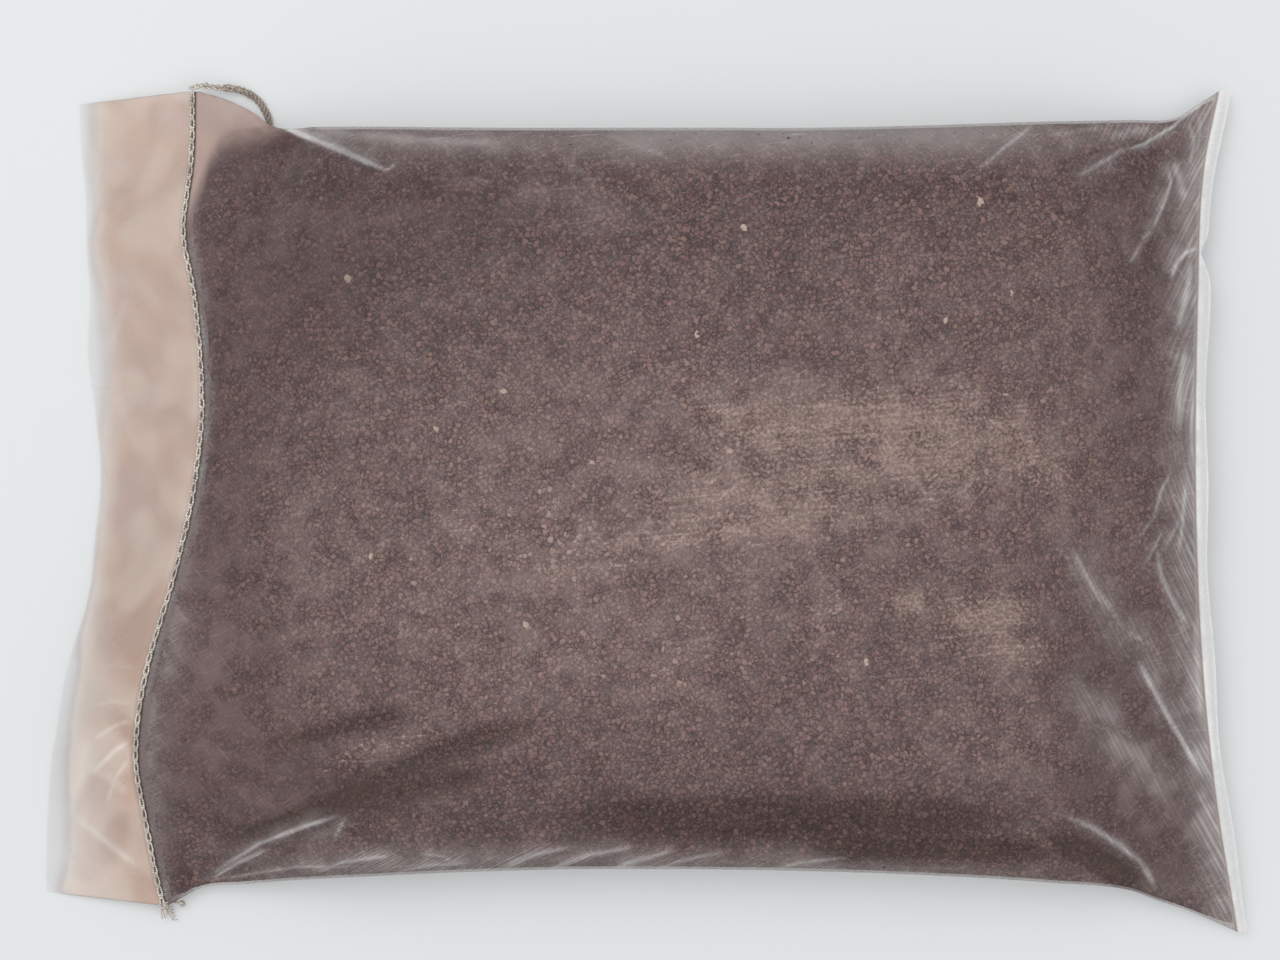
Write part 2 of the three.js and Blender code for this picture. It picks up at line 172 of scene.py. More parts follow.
def skirtFilm(t, v):
    y = acrossBag(bag["length"] + 0 * v, v)
    nick = 0.66 * np.exp(-((y - 147) / 9) ** 2)  # nearly cut away at one place
    wide = bag["skirt"] * (0.88 + 0.12 * np.sin(y / 17 + 1) - nick)
    return sealX(v) + lerp(bag["sealLand"], wide, t), y, sealZ(v) + 0.05, sealZ(v) - 0.05


def crowded(count, crowding):
    k = np.arange(count + 1) / count
    return lerp(k, (1 - np.cos(math.pi * k)) / 2, crowding)


def toFrame(x, y, z):
    # bag millimetres to the part's frame in metres
    return np.stack([(x + bag["origin"][0]) / 1000, (y + bag["origin"][1]) / 1000, z / 1000], -1)


def nearLine(x, y, line):
    # distance to a line of points in plan, how far along it the nearest place is, and on which side
    pts = np.array(line, float)
    lengths = np.r_[0, np.cumsum(np.hypot(*np.diff(pts, axis=0).T))]
    best = np.full(np.shape(x), np.inf)
    share, side = np.zeros(np.shape(x)), np.zeros(np.shape(x))
    for k in range(len(pts) - 1):
        run = pts[k + 1] - pts[k]
        t = np.clip(((x - pts[k, 0]) * run[0] + (y - pts[k, 1]) * run[1]) / (run @ run), 0, 1)
        d = np.hypot(x - pts[k, 0] - t * run[0], y - pts[k, 1] - t * run[1])
        closer = d < best
        best = np.where(closer, d, best)
        share = np.where(closer, (lengths[k] + t * np.hypot(*run)) / lengths[-1], share)
        side = np.where(closer, run[0] * (y - pts[k, 1]) - run[1] * (x - pts[k, 0]), side)
    return best, share, side


def ripple(x, y, waves):
    # a sum of plane waves: (length mm, heading deg, phase, height mm)
    total = np.zeros(np.shape(x))
    for length, heading, phase, height in waves:
        a = math.radians(heading)
        total += height * np.sin(2 * math.pi * (x * math.cos(a) + y * math.sin(a)) / length + phase)
    return total


def fresh():
    if bpy.context.object and bpy.context.object.mode != "OBJECT":
        bpy.ops.object.mode_set(mode="OBJECT")
    bpy.ops.object.select_all(action="DESELECT")


def smoothShade(piece):
    piece.data.polygons.foreach_set("use_smooth", np.ones(len(piece.data.polygons), bool))
    piece.data.update()


# shader wiring
class Wire:
    def __init__(self, desk, socket):
        self.desk, self.socket = desk, socket

    def sum(self, operation, other, turned=False):
        pair = (other, self) if turned else (self, other)
        return self.desk.node("ShaderNodeMath", {"operation": operation}, {0: pair[0], 1: pair[1]})

    def __add__(self, other): return self.sum("ADD", other)
    def __radd__(self, other): return self.sum("ADD", other, True)
    def __sub__(self, other): return self.sum("SUBTRACT", other)
    def __rsub__(self, other): return self.sum("SUBTRACT", other, True)
    def __mul__(self, other): return self.sum("MULTIPLY", other)
    def __rmul__(self, other): return self.sum("MULTIPLY", other, True)

    def other(self, name):
        # another output of the same node
        return Wire(self.desk, self.socket.node.outputs[name])


class Finish:
    def __init__(self, name):
        self.material = bpy.data.materials.new(name)
        self.material.use_nodes = True
        self.tree = self.material.node_tree
        self.tree.nodes.clear()

    def node(self, kind, settings=None, sockets=None, out=0):
        made = self.tree.nodes.new(kind)
        for key, value in (settings or {}).items():
            if key == "stops":
                ramp = made.color_ramp
                while len(ramp.elements) < len(value):
                    ramp.elements.new(0.5)
                for stop, (place, colour) in zip(ramp.elements, value):
                    stop.position, stop.color = place, (*colour, 1)
            else:
                setattr(made, key, value)
        for key, value in (sockets or {}).items():
            if isinstance(value, Wire):
                self.tree.links.new(value.socket, made.inputs[key])
            else:
                made.inputs[key].default_value = value
        return Wire(self, made.outputs[out]) if len(made.outputs) else made

    def attribute(self, name):
        return self.node("ShaderNodeAttribute", {"attribute_name": name}, out="Fac")

    def colour(self, fac, a, b):
        a, b = (c if isinstance(c, Wire) else (*c, 1) for c in (a, b))
        return self.node("ShaderNodeMix", {"data_type": "RGBA"}, {"Factor": fac, 6: a, 7: b}, out=2)

    def between(self, value, low, high, toLow=0.0, toHigh=1.0):
        return self.node("ShaderNodeMapRange", {"interpolation_type": "SMOOTHSTEP"},
                         {"Value": value, "From Min": low, "From Max": high,
                          "To Min": toLow, "To Max": toHigh})

    def noise(self, vector, scale, detail):
        return self.node("ShaderNodeTexNoise", {}, {"Vector": vector, "Scale": scale, "Detail": detail,
                                                    "Roughness": 0.55}, out="Fac")

    def streaks(self, spot, turn, scale, detail):
        # noise drawn out along a heading
        slant = self.node("ShaderNodeMapping", {}, {"Vector": spot, "Rotation": (0.0, 0.0, turn)})
        drawn = self.node("ShaderNodeVectorMath", {"operation": "MULTIPLY"}, {0: slant, 1: scale})
        return self.noise(drawn, 1.0, detail)

    def bump(self, height, strength, distance):
        return self.node("ShaderNodeBump", {}, {"Height": height, "Strength": strength, "Distance": distance})

    def shader(self, sockets):
        made = self.node("ShaderNodeBsdfPrincipled", {}, sockets)
        self.node("ShaderNodeOutputMaterial", {}, {"Surface": made})
        return self.material


# camera, straight above as in the photograph
camera = {"height": 2.03, "level": 0.03, "wide": 0.768, "centre": (-0.00385, 0.01855), "sensor": 36,
          "far": 30}


def setCamera():
    lens = bpy.data.cameras.new("aboveCamera")
    lens.sensor_fit, lens.sensor_width = "HORIZONTAL", camera["sensor"]
    lens.lens = camera["sensor"] * (camera["height"] - camera["level"]) / camera["wide"]
    lens.clip_end = camera["far"]
    eye = bpy.data.objects.new("aboveCamera", lens)
    eye.location = (*camera["centre"], camera["height"])
    bpy.context.scene.collection.objects.link(eye)
    bpy.context.scene.camera = eye
    print("camera set above the bag")


setCamera()

# sewing thread: links, loose tail, underside run and frayed end
thread = {
    "pitch": 7.4, "strand": 0.52, "linkHalf": 1.15, "tailDiameter": 3.0,
    "tailCore": 0.55, "tailStrand": 0.62, "tailLinks": [0.8, 1.2, 1.1, 1.0], "tailPitches": 9,
    "plies": 3, "plyRadius": 0.85, "plyAside": 1.5, "plyUp": 0.75, "plyTurns": 4.5, "plyPlaces": 60,
    "frayRadius": 0.36, "knotRadius": 0.75, "tailHair": 0.11, "endHair": 0.12,
    "colour": (0.94, 0.855, 0.765), "shade": (0.17, 0.125, 0.10),
    "dirty": (0.50, 0.435, 0.385), "dirtyShade": (0.20, 0.155, 0.13),
    "tailRoute": [(0, 2.34, 10), (0.8, 3.6, 9.9), (4, 4, 9.3), (10, 3.2, 7.8), (16, 2.6, 6.2), (22, 2.6, 4.8),
                  (28, 1.6, 3.6), (34, -0.8, 2.5), (38.5, -4, 1.9), (42.5, -9.6, 1.8), (45, -15, 1.8),
                  (46.5, -21, 1.8)],
}


def threadFinish(name, light, dark):
    desk = Finish(name)
    spot = desk.node("ShaderNodeTexCoord", out="Object")
    ply = desk.node("ShaderNodeTexWave", {"wave_type": "BANDS", "bands_direction": "DIAGONAL"},
                    {"Vector": spot, "Scale": 420.0, "Distortion": 3.0, "Detail": 2.0,
                     "Detail Scale": 2.0}, out="Fac")
    soil = desk.noise(spot, 90.0, 4.0)
    fuzz = desk.noise(spot, 2600.0, 2.0)
    # painted shade in the grooves between the plies, broken up by soil
    plyShadeAndSoil = desk.between(ply, 0.05, 0.5) * desk.between(soil, 0.3, 0.62, 0.55, 1.0)
    tone = desk.colour(plyShadeAndSoil, dark, light)
    return desk.shader({"Base Color": tone, "Roughness": 0.7 + 0.25 * fuzz, "Specular IOR Level": 0.2,
                        "Normal": desk.bump(ply * 0.7 + fuzz * 0.5, 0.6, 0.0003)})


threadMaterial = threadFinish("sewingThread", thread["colour"], thread["shade"])
dirtyThread = threadFinish("dirtyThread", thread["dirty"], thread["dirtyShade"])


def runOf(points, count):
    # evenly spaced places on a smooth line through the points
    pts = np.array(points, float)
    t = np.r_[0, np.cumsum(np.linalg.norm(np.diff(pts, axis=0), axis=1))]
    fine = np.linspace(0, t[-1], 400)
    line = np.stack([curveThrough(list(zip(t, pts[:, k])))(fine) for k in range(3)], -1)
    s = np.r_[0, np.cumsum(np.linalg.norm(np.diff(line, axis=0), axis=1))]
    even = np.linspace(0, s[-1], count)
    return np.stack([np.interp(even, s, line[:, k]) for k in range(3)], -1), s[-1]


def threadCurve(name, strands, radius, closed=False, sides=2):
    # each strand is a list of places in bag millimetres
    curve = bpy.data.curves.new(name, "CURVE")
    curve.dimensions, curve.bevel_depth, curve.bevel_resolution = "3D", radius / 1000, sides
    curve.use_fill_caps = True
    for strand in strands:
        places = toFrame(*np.array(strand, float).T)
        spline = curve.splines.new("POLY")
        spline.points.add(len(places) - 1)
        spline.points.foreach_set("co", np.c_[places, np.ones(len(places))].ravel())
        spline.use_cyclic_u = closed
    piece = bpy.data.objects.new(name, curve)
    bpy.context.scene.collection.objects.link(piece)
    return piece


def asMesh(piece, finish):
    fresh()
    piece.select_set(True)
    bpy.context.view_layer.objects.active = piece
    bpy.ops.object.convert(target="MESH")
    piece = bpy.context.object
    piece.data.materials.clear()
    piece.data.materials.append(finish)
    smoothShade(piece)
    return piece


# one chain link: (along in pitches, aside in half widths, up in strands)
linkShape = [(-0.3, 0.2, 0.9), (-0.12, 0.62, 1.15), (0.1, 1.0, 0.95), (0.34, 0.98, 0.35), (0.62, 0.7, 0.0),
             (0.88, 0.42, 0.0), (1.06, 0.0, 0.1), (0.88, -0.42, 0.0), (0.62, -0.7, 0.0), (0.34, -0.98, 0.35),
             (0.1, -1.0, 0.95), (-0.12, -0.62, 1.15), (-0.3, -0.2, 0.9)]


def linksAlong(line, widths):
    # copies of the link laid along a line of places, one pitch apart
    links = []
    for a, b, share in zip(line[:-1], line[1:], widths):
        ahead = b - a
        aside = np.array([-ahead[1], ahead[0], 0]) / np.hypot(ahead[0], ahead[1])
        up = np.cross(ahead, aside) / np.linalg.norm(np.cross(ahead, aside))
        wide = share * thread["linkHalf"]
        links.append([a + ahead * s + aside * (wide * w) + up * (h * thread["strand"])
                      for s, w, h in linkShape])
    return links


def offTable(places, least):
    # nothing sinks into the table
    return np.maximum(places, [-np.inf, -np.inf, least])


def hairsAlong(line, count, reach, rise):
    # short fuzz standing off a line of places
    hairs = []
    for _ in range(count):
        root = line[rng.integers(1, len(line) - 1)]
        way = rng.normal(0, 1, 3) * [1, 1, rise]
        way = way / np.linalg.norm(way) * rng.uniform(0.5, 1) * reach
        bend = rng.uniform(-0.3, 0.3, 3) * reach
        hairs.append([offTable(root + way * t + bend * t * t, 0.3) for t in np.linspace(0, 1, 5)])
    return hairs


def joinInto(main, others):
    fresh()
    for piece in (main, *others):
        piece.select_set(True)
    bpy.context.view_layer.objects.active = main
    bpy.ops.object.join()


def makeTail():
    end = [float(seamX(1.0)), float(acrossBag(0.0, 1.0)), 0]
    points = np.array(thread["tailRoute"]) + end
    route, long = runOf(points, 34)
    tail = asMesh(threadCurve("threadTail", [route], thread["tailCore"], sides=3), dirtyThread)
    loops, _ = runOf(points, thread["tailPitches"])
    links = linksAlong(loops[:len(thread["tailLinks"]) + 1], thread["tailLinks"])
    chain = asMesh(threadCurve("tailLinks", links, thread["tailStrand"], True), threadMaterial)
    # past the first links the plies come apart and bulk up
    count, skipped = thread["plyPlaces"], 28
    core = runOf(points, skipped + count)[0][skipped:]
    plies = []
    for k in range(thread["plies"]):
        turn = np.linspace(0, 2 * thread["plyTurns"] * math.pi, count) + k * 2.1
        fine = core + rng.normal(0, 0.16, (count, 3)) * [1, 1, 0.5]
        ahead = np.gradient(fine, axis=0)
        aside = np.stack([-ahead[:, 1], ahead[:, 0], 0 * turn], -1)
        aside = aside / np.hypot(ahead[:, 0], ahead[:, 1])[:, None]
        rise = np.outer(thread["plyUp"] * np.sin(turn), [0, 0, 1])
        plies.append(fine + aside * (thread["plyAside"] * np.cos(turn))[:, None] + rise)
    bulk = asMesh(threadCurve("tailPlies", plies, thread["plyRadius"]), dirtyThread)
    hairs = hairsAlong(route[10:], 90, 2.2, 0.5)
    fuzz = asMesh(threadCurve("tailFuzz", hairs, thread["tailHair"], sides=1), dirtyThread)
    joinInto(tail, (chain, bulk, fuzz))
    path = toFrame(*route.T)
    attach(tail, "root")
    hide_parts("thread_tail")
    print("thread tail", round(long, 1), "mm")


makeTail()


def makeSeam():
    v = np.linspace(-1, 1, 240)
    x, y, top, under = seamFilm(0, v)
    line, long = runOf(np.stack([x, y, top + 0.65], -1), 240)
    count = int(long / thread["pitch"])
    even, every = np.linspace(0, 1, count + 1), np.linspace(0, 1, len(line))
    places = np.stack([np.interp(even, every, line[:, k]) for k in range(3)], -1)
    places[:, 0] += rng.normal(0, 0.12, count + 1)
    links = asMesh(threadCurve("chainLinks", linksAlong(places, rng.uniform(0.85, 1.12, count)),
                               thread["strand"], True), threadMaterial)
    below = np.stack([x, y, under - 0.8], -1)
    stitches = asMesh(threadCurve("undersideRun", [below[::3]], thread["tailCore"]), threadMaterial)

    # the cut end past the lower side: a short bundle, and one strand with a knot in it
    low = places[0]
    bundle = np.array([(0, 3, 0), (0.8, -1, -1), (2.4, -4.5, -4), (4.3, -8.4, -6.5)]) + low
    single = np.array([(0.4, 0.6, 0.2), (3.6, 1.4, -1), (7.6, 1.2, -3.5), (11.2, 0.2, -5.5)]) + low
    bundle[:, 2], single[:, 2] = np.maximum(bundle[:, 2], 1.3), np.maximum(single[:, 2], 1.3)
    strands = []
    for line, many, spread in ((bundle, 13, 3.0), (single, 4, 0.6)):
        for _ in range(many):
            apart = rng.normal(0, spread, 3) * [1, 1, 0.4]
            share = np.linspace(0, 1, len(line))[:, None]
            loose = line + apart * share + rng.normal(0, 0.25, line.shape)
            strands.append(offTable(runOf(loose, 10)[0], 0.6))
    frayed = asMesh(threadCurve("frayedEnd", strands, thread["frayRadius"]), threadMaterial)
    knotLine = single[-1] + np.array([(1.0 * math.cos(a), 1.2 * math.sin(a), 0.3 * math.sin(2 * a))
                                      for a in np.linspace(0, 2 * math.pi, 10, endpoint=False)])
    knot = asMesh(threadCurve("endKnot", [knotLine], thread["knotRadius"], True), dirtyThread)
    hairs = hairsAlong(np.concatenate([bundle, single]), 40, 3.2, 0.4)
    fuzz = asMesh(threadCurve("endFuzz", hairs, thread["endHair"], sides=1), threadMaterial)
    joinInto(links, (stitches, frayed, knot, fuzz))
    links.name = "chainStitch"
    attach(links, "root")
    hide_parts("closing_thread")
    print("chain stitch of", count, "links")


makeSeam()

# film: the two sheets of the bag
film = {
    "alongFlap": 28, "alongBody": 272, "alongSkirt": 4, "acrossTop": 264, "acrossUnder": 40,
    # creases: line of places, half width, height, whitening (stress whitening with a painted highlight along
    # the ridge)
    "creases": [
        ([(48, 227), (57, 222.4), (71, 215.5), (88, 208), (105, 200), (118, 194.3), (122, 196)],
         2.4, 3.6, 0.8),
        ([(116, 194), (121, 195), (125, 201)], 1.8, 1.2, 0.35),
        ([(62, 225), (100, 217), (150, 212), (200, 211)], 8.0, 0.6, 0.2),
        ([(2, -231), (17, -222), (41, -206), (70, -194), (95, -186)], 3.2, 3.6, 0.36),
        ([(7, -231), (28, -218), (49, -208)], 2.4, 2.0, 0.4),
        ([(87, -202), (92, -193), (95, -188)], 2.2, 1.8, 0.3),
        ([(70, -225), (91, -216), (124, -211)], 2.8, 2.0, 0.35),
        ([(136, -210), (151, -212), (161, -218)], 2.2, 1.5, 0.3),
        ([(183, -222), (205, -211), (232, -205)], 3.4, 2.4, 0.35),
        ([(211, -222), (238, -211), (268, -205)], 3.6, 2.6, 0.4),
        ([(250, -222), (268, -214), (292, -207)], 3.2, 2.2, 0.35),
        ([(274, -222), (295, -214), (322, -208)], 3.2, 2.0, 0.3),
        ([(340, -222), (364, -216), (394, -212)], 3.2, 1.5, 0.25),
        ([(118, -224), (142, -218), (172, -216)], 2.6, 1.6, 0.3),
        ([(10, -231), (64, -220), (106, -218)], 2.6, 1.6, 0.3),
        ([(46, -193), (82, -169), (124, -154), (172, -139), (211, -129)], 13.0, -3.5, 0.0),
        ([(64, -151), (94, -142), (133, -130)], 9.0, -2.2, 0.0),
        ([(-2, -224), (26, -209), (52, -195), (102, -172)], 4.5, -1.6, 0.0),
        ([(508, -184), (520, -188), (535, -194.5), (553, -206), (567, -217), (575, -228), (582, -241)],
         1.7, 4.2, 0.36),
        ([(520, -202), (550, -218), (574, -235)], 7.0, -3.5, 0.0),
        ([(519, -22), (526, -37), (536, -53), (546, -63), (554, -75), (559, -81)], 3.6, 2.4, 0.26),
        ([(556, -79), (570, -85.5), (575, -88)], 2.6, 1.6, 0.2),
        ([(562, -92), (568, -102), (576, -116), (584, -130), (592, -142), (599, -154), (610, -172)],
         2.8, 3.4, 0.5),
        ([(575, -28), (577, -33), (580, -46), (585, -57), (591, -67), (600, -80)], 2.6, 2.6, 0.45),
        ([(567, -42), (569, -39), (573, -33), (579, -22), (582, -18)], 1.9, 1.4, 0.32),
        ([(582, -29), (584, -26), (588, -19), (593, -11)], 1.9, 1.4, 0.32),
        ([(565, -24), (567, -21), (573, -13), (577, -8)], 1.9, 1.2, 0.3),
        ([(587, 17), (580, 5), (574, -13)], 2.4, 1.6, 0.35),
        ([(533, -118), (546, -138), (556, -146), (572, -160)], 6.0, 1.0, 0.06),
        ([(602, -64), (603, -90), (607, -140)], 4.5, 0.8, 0.26),
        ([(586, 131), (588, 135), (591, 142), (597, 148), (606, 152)], 2.2, 2.4, 0.45),
        ([(600, 146), (599, 132), (594, 112), (590, 98)], 5.0, 1.2, 0.34),
        ([(597, 96), (592, 70), (591, 40)], 4.4, 1.4, 0.3),
        ([(602, 90), (600, 50), (599, 10)], 4.0, 0.8, 0.24),
        ([(596, 12), (594, -13), (590, -37)], 3.0, 1.4, 0.32),
        ([(613, 243), (606, 237), (595, 229), (590, 224.4), (581, 219), (570.5, 212.5), (556, 208)],
         1.9, 3.6, 0.6),
        ([(566, 211), (556, 208), (548, 203), (533, 194), (524, 190)], 3.6, 2.2, 0.24),
        ([(504, 224), (500.7, 221.6), (493, 215), (484, 208), (474, 199), (466, 193)], 2.0, 2.6, 0.4),
        ([(508, 215), (530, 219), (548, 223)], 4.0, 0.8, 0.16),
        ([(548, 216), (562, 220), (578, 223)], 6.5, 0.8, 0.2),
        ([(574, 158), (576, 163), (581, 173), (585, 182), (588, 190), (586, 204)], 2.4, 2.2, 0.3),
        ([(589, 206), (594, 192), (597, 178)], 6.0, 0.8, 0.26),
        ([(558, 138), (562, 143), (572, 158), (576, 164)], 4.0, 1.0, 0.24),
        ([(600, 230), (603, 215), (600, 200)], 3.0, 0.8, 0.26),
        ([(607, 234), (607, 222), (604, 206)], 2.6, 0.6, 0.22),
        ([(220, 203), (232, 194), (244, 182)], 2.8, 1.2, 0.18),
        ([(244, 218), (268, 209), (292, 197)], 3.2, 1.4, 0.16),
        ([(515, -95), (535, -118), (560, -140)], 12.0, 0.8, 0.1),
        ([(-79, -190), (-59, -204), (-32, -224)], 6.0, 1.8, 0.22),
        ([(-82, -196), (-70, -170), (-64, -140)], 12.0, 0.8, 0.16),
        ([(-70, -160), (-52, -166), (-36, -178)], 9.0, 0.9, 0.16),
        ([(-33, -132), (-44, -135), (-62, -146)], 3.0, 1.6, 0.22),
        ([(-34, -143), (-46, -151), (-64, -168)], 3.6, 1.8, 0.26),
        ([(-35, -153), (-45, -166), (-54, -186)], 3.0, 1.6, 0.2),
        ([(-33, -121), (-46, -121), (-64, -126)], 3.0, 1.2, 0.15),
        ([(-30, -102), (-44, -99), (-58, -102)], 4.0, 0.9, 0.1),
        ([(-40, 128), (-50, 101), (-59, 80)], 9.0, 1.4, 0.12),
        ([(-53, 68), (-43, 48), (-32, 22)], 9.0, 1.4, 0.1),
    ],
    # dust rubbed onto the film: line of places, half width, strength
    "dust": [
        ([(280, 36), (330, 42), (400, 49), (460, 48), (500, 42)], 20, 0.5),
        ([(470, 46), (495, 28), (525, -2)], 14, 0.58),
        ([(240, 2), (310, 2), (370, 0), (430, 10)], 24, 0.38),
        ([(400, 34), (440, 22), (470, 12)], 20, 0.5),
        ([(190, -38), (256, -27), (304, -20), (364, -13), (400, -8)], 8, 0.5),
        ([(196, -45), (236, -41), (290, -36)], 5, 0.42),
        ([(412, -61), (436, -61)], 9, 0.75),
        ([(440, -66), (465, -71), (500, -62)], 15, 0.6),
        ([(460, -85), (514, -91)], 12, 0.5),
        ([(364, -64), (394, -61)], 7, 0.5),
        ([(64, -168), (106, -149), (142, -138), (172, -132)], 9, 0.4),
        ([(445, -133), (475, -142), (505, -160)], 8, 0.42),
    ],
    "dustSpots": [((365, 28), (85, 42), 0.3), ((455, 30), (60, 40), 0.28), ((462, -74), (50, 28), 0.3),
                  ((330, -30), (90, 25), 0.15)],
    # grey film that stands off the gravel, its haze and a painted reflection: line of places, half width,
    # strength
    "greys": [
        ([(515, -15), (536, -53), (556, -82), (580, -92)], 15, 0.36),
        ([(545, -62), (575, -100), (600, -150)], 16, 0.4),
        ([(520, -105), (546, -140), (575, -165), (600, -185)], 17, 0.42),
        ([(603, -60), (606, -110), (611, -170)], 9, 0.6),
        ([(590, -40), (598, -80)], 9, 0.45),
        ([(585, 210), (598, 190), (600, 170)], 12, 0.55),
        ([(572, 155), (590, 195)], 9, 0.4),
        ([(600, 150), (594, 110), (592, 60), (592, 0)], 10, 0.55),
        ([(512, 220), (545, 221), (590, 224)], 11, 0.5),
        ([(525, 190), (556, 207)], 8, 0.42),
        ([(465, 193), (500, 222)], 7, 0.3),
        ([(64, 224), (120, 213), (180, 212), (260, 215)], 12, 0.6),
        ([(180, 214), (260, 215), (330, 216), (480, 218), (560, 219)], 17, 0.95),
        ([(180, 190), (230, 176), (270, 160)], 14, 0.18),
        ([(60, -208), (85, -196), (98, -187)], 7, 0.45),
        ([(-6, -40), (-16, -90), (-26, -130), (-24, -170), (-14, -210)], 12, 0.5),
        ([(50, -223), (100, -218), (160, -216), (260, -215)], 12, 0.75),
        ([(200, -217), (300, -217), (400, -219), (500, -224)], 7, 0.6),
        ([(500, 204), (530, 213), (562, 222)], 9, 0.5),
        ([(586, 164), (593, 142), (597, 116)], 9, 0.7),
    ],
    # dark hollows and shaded gravel
    "darks": [
        ([(46, -146), (82, -137), (109, -130), (146, -123)], 8, 0.22),
        ([(50, -198), (100, -175), (124, -163), (148, -152), (172, -143), (225, -125)], 10, 0.28),
        ([(100, -178), (140, -166), (190, -158)], 14, 0.22),
        ([(16, -208), (60, -190), (110, -168)], 6, 0.24),
        ([(200, -184), (300, -189), (420, -187), (520, -192)], 17, 0.3),
        ([(350, -204), (440, -206), (530, -209)], 12, 0.28),
        ([(505, -198), (535, -212), (572, -236)], 8, 0.42),
    ],
    # waves: length, heading, phase, height
    "puckers": [(31, 62, 0.4, 0.9), (23, 118, 1.9, 0.6), (47, 80, 3.1, 1.1), (17, 74, 5.0, 0.4)],
    "waves": [(140, 20, 0.3, 0.7), (96, 105, 2.0, 0.5), (61, 60, 4.1, 0.3)],
    # where the film is hazy: place, reach along and across, strength
    "haze": [((265, 12), (150, 95), 1.0), ((205, -60), (140, 75), 0.6), ((430, 10), (110, 130), 0.5),
             ((20, -110), (60, 70), 0.4), ((40, 20), (70, 90), 0.25), ((430, -150), (90, 40), 0.2),
             ((90, 160), (130, 70), -0.65), ((330, -190), (300, 28), -0.25), ((440, 190), (120, 40), -0.2),
             ((525, 70), (90, 90), 0.4), ((500, -140), (90, 60), 0.4), ((260, -110), (110, 50), 0.35)],
    # where it is dull and hides the grains
    "veils": [((45, 140), (65, 75), 0.68), ((10, -20), (45, 110), 0.6), ((10, -120), (45, 60), 0.65),
              ((60, -175), (70, 28), 0.8), ((150, 165), (70, 40), 0.5), ((565, 60), (40, 90), 0.3),
              ((575, -150), (50, 60), 0.5), ((530, -90), (40, 50), 0.35), ((578, 165), (40, 60), 0.35),
              ((545, 195), (40, 14), 0.3), ((590, -205), (36, 45), 0.6), ((555, -172), (45, 34), 0.4)],
    # the gravel's edge across the slack corner: place along, place across
    "corner": [(-14, 160), (-9, 168), (-3, 178), (3, 194), (8, 208), (14, 218), (23, 223), (40, 225),
               (70, 236), (90, 300)],
    "cornerEnd": 90,  # past this the bag is filled to its upper side
    "rimLow": 27, "rimHigh": 20,  # how far grey film, hazy and with painted reflection, shows in from the lower and the upper side
    "pulledFrom": (520, 215),  # corner that the streaks of the pulled film fan out from
    "rimFolds": [(36, 68, 0.4, 0.5), (21, 76, 2.0, 0.35), (58, 60, 1.1, 0.4)],
    # how far in from the open edge the flap stays clear: place across, reach
    "hem": [(-1, 9), (-0.7, 13), (-0.5, 10), (-0.35, 4), (-0.2, 1), (0.1, 0), (0.22, 2), (0.36, 8), (0.5, 6),
            (0.65, 2), (0.75, 4), (0.85, 5), (1, 6)],
    # soft patches of tone and of cover on the flap, as waves
    "patches": [(64, 74, 0.4, 0.09), (41, 108, 2.1, 0.07), (29, 31, 4.0, 0.06), (97, 12, 1.0, 0.07),
                (21, 150, 0.7, 0.05)],
    "clouds": [(83, 120, 2.6, 0.09), (57, 48, 0.9, 0.07), (36, 95, 3.3, 0.06), (26, 5, 5.2, 0.05)],
    "flapWaves": [(90, 80, 0.5, 0.9), (52, 104, 2.2, 0.6), (37, 65, 1.0, 0.35)],
    # two tones are the ends of a range
    "tones": {
        "brown": ((0.34, 0.24, 0.23), (0.44, 0.325, 0.305)),
        "tan": ((0.45, 0.31, 0.262), (0.56, 0.41, 0.355)),
        "rose": ((0.585, 0.365, 0.27), (0.665, 0.465, 0.37)), "cloud": (0.73, 0.585, 0.495),
        "openEdge": (0.84, 0.74, 0.675), "veil": (0.195, 0.126, 0.122), "stain": (0.185, 0.138, 0.132),
        "grey": ((0.36, 0.325, 0.315), (0.62, 0.585, 0.57)),
        "corner": ((0.15, 0.09, 0.084), (0.45, 0.315, 0.27)), "shade": (0.085, 0.05, 0.04),
        "crease": ((0.64, 0.60, 0.585), (0.92, 0.86, 0.82)), "seal": (0.30, 0.22, 0.19),
        "skirt": ((0.98, 0.98, 0.975), (0.80, 0.785, 0.775)),
        "glint": (0.88, 0.875, 0.87),
    },
}


def spotsAt(x, y, spots):
    total = np.zeros(np.shape(x))
    for (cx, cy), (rx, ry), strong in spots:
        total = total + strong * np.exp(-((x - cx) / rx) ** 2 - ((y - cy) / ry) ** 2)
    return total


def strokesAt(x, y, strokes):
    total = np.zeros(np.shape(x))
    for line, wide, strong in strokes:
        d, s, _ = nearLine(x, y, line)
        taper = smooth(np.minimum(s, 1 - s), -0.1, 0.3)
        total = np.maximum(total, strong * np.exp(-(d / wide) ** 2) * taper)
    return total


def hazeAt(x, y):
    return np.clip(0.25 + spotsAt(x, y, film["haze"]), -0.2, 1.4)


def pastGravel(x, y):
    # how far a place lies into the empty corner
    return y - np.interp(x, *np.array(film["corner"], float).T)


def pulledAcross(x, y):
    # measures that grow across the streaks of the pulled film, along the sides and at the sealed end
    cornerX, cornerY = film["pulledFrom"]
    along = x - cornerX
    low = 0.88 * (y + cornerY) - 0.47 * along - cornerY / 2
    high = 0.79 * (y - cornerY) + 0.62 * along + cornerY / 2
    end = 0.87 * along - 0.5 * np.hypot(y - 40, 40)
    return np.where(y < 0, low, high), end, smooth(along, -25, 25)


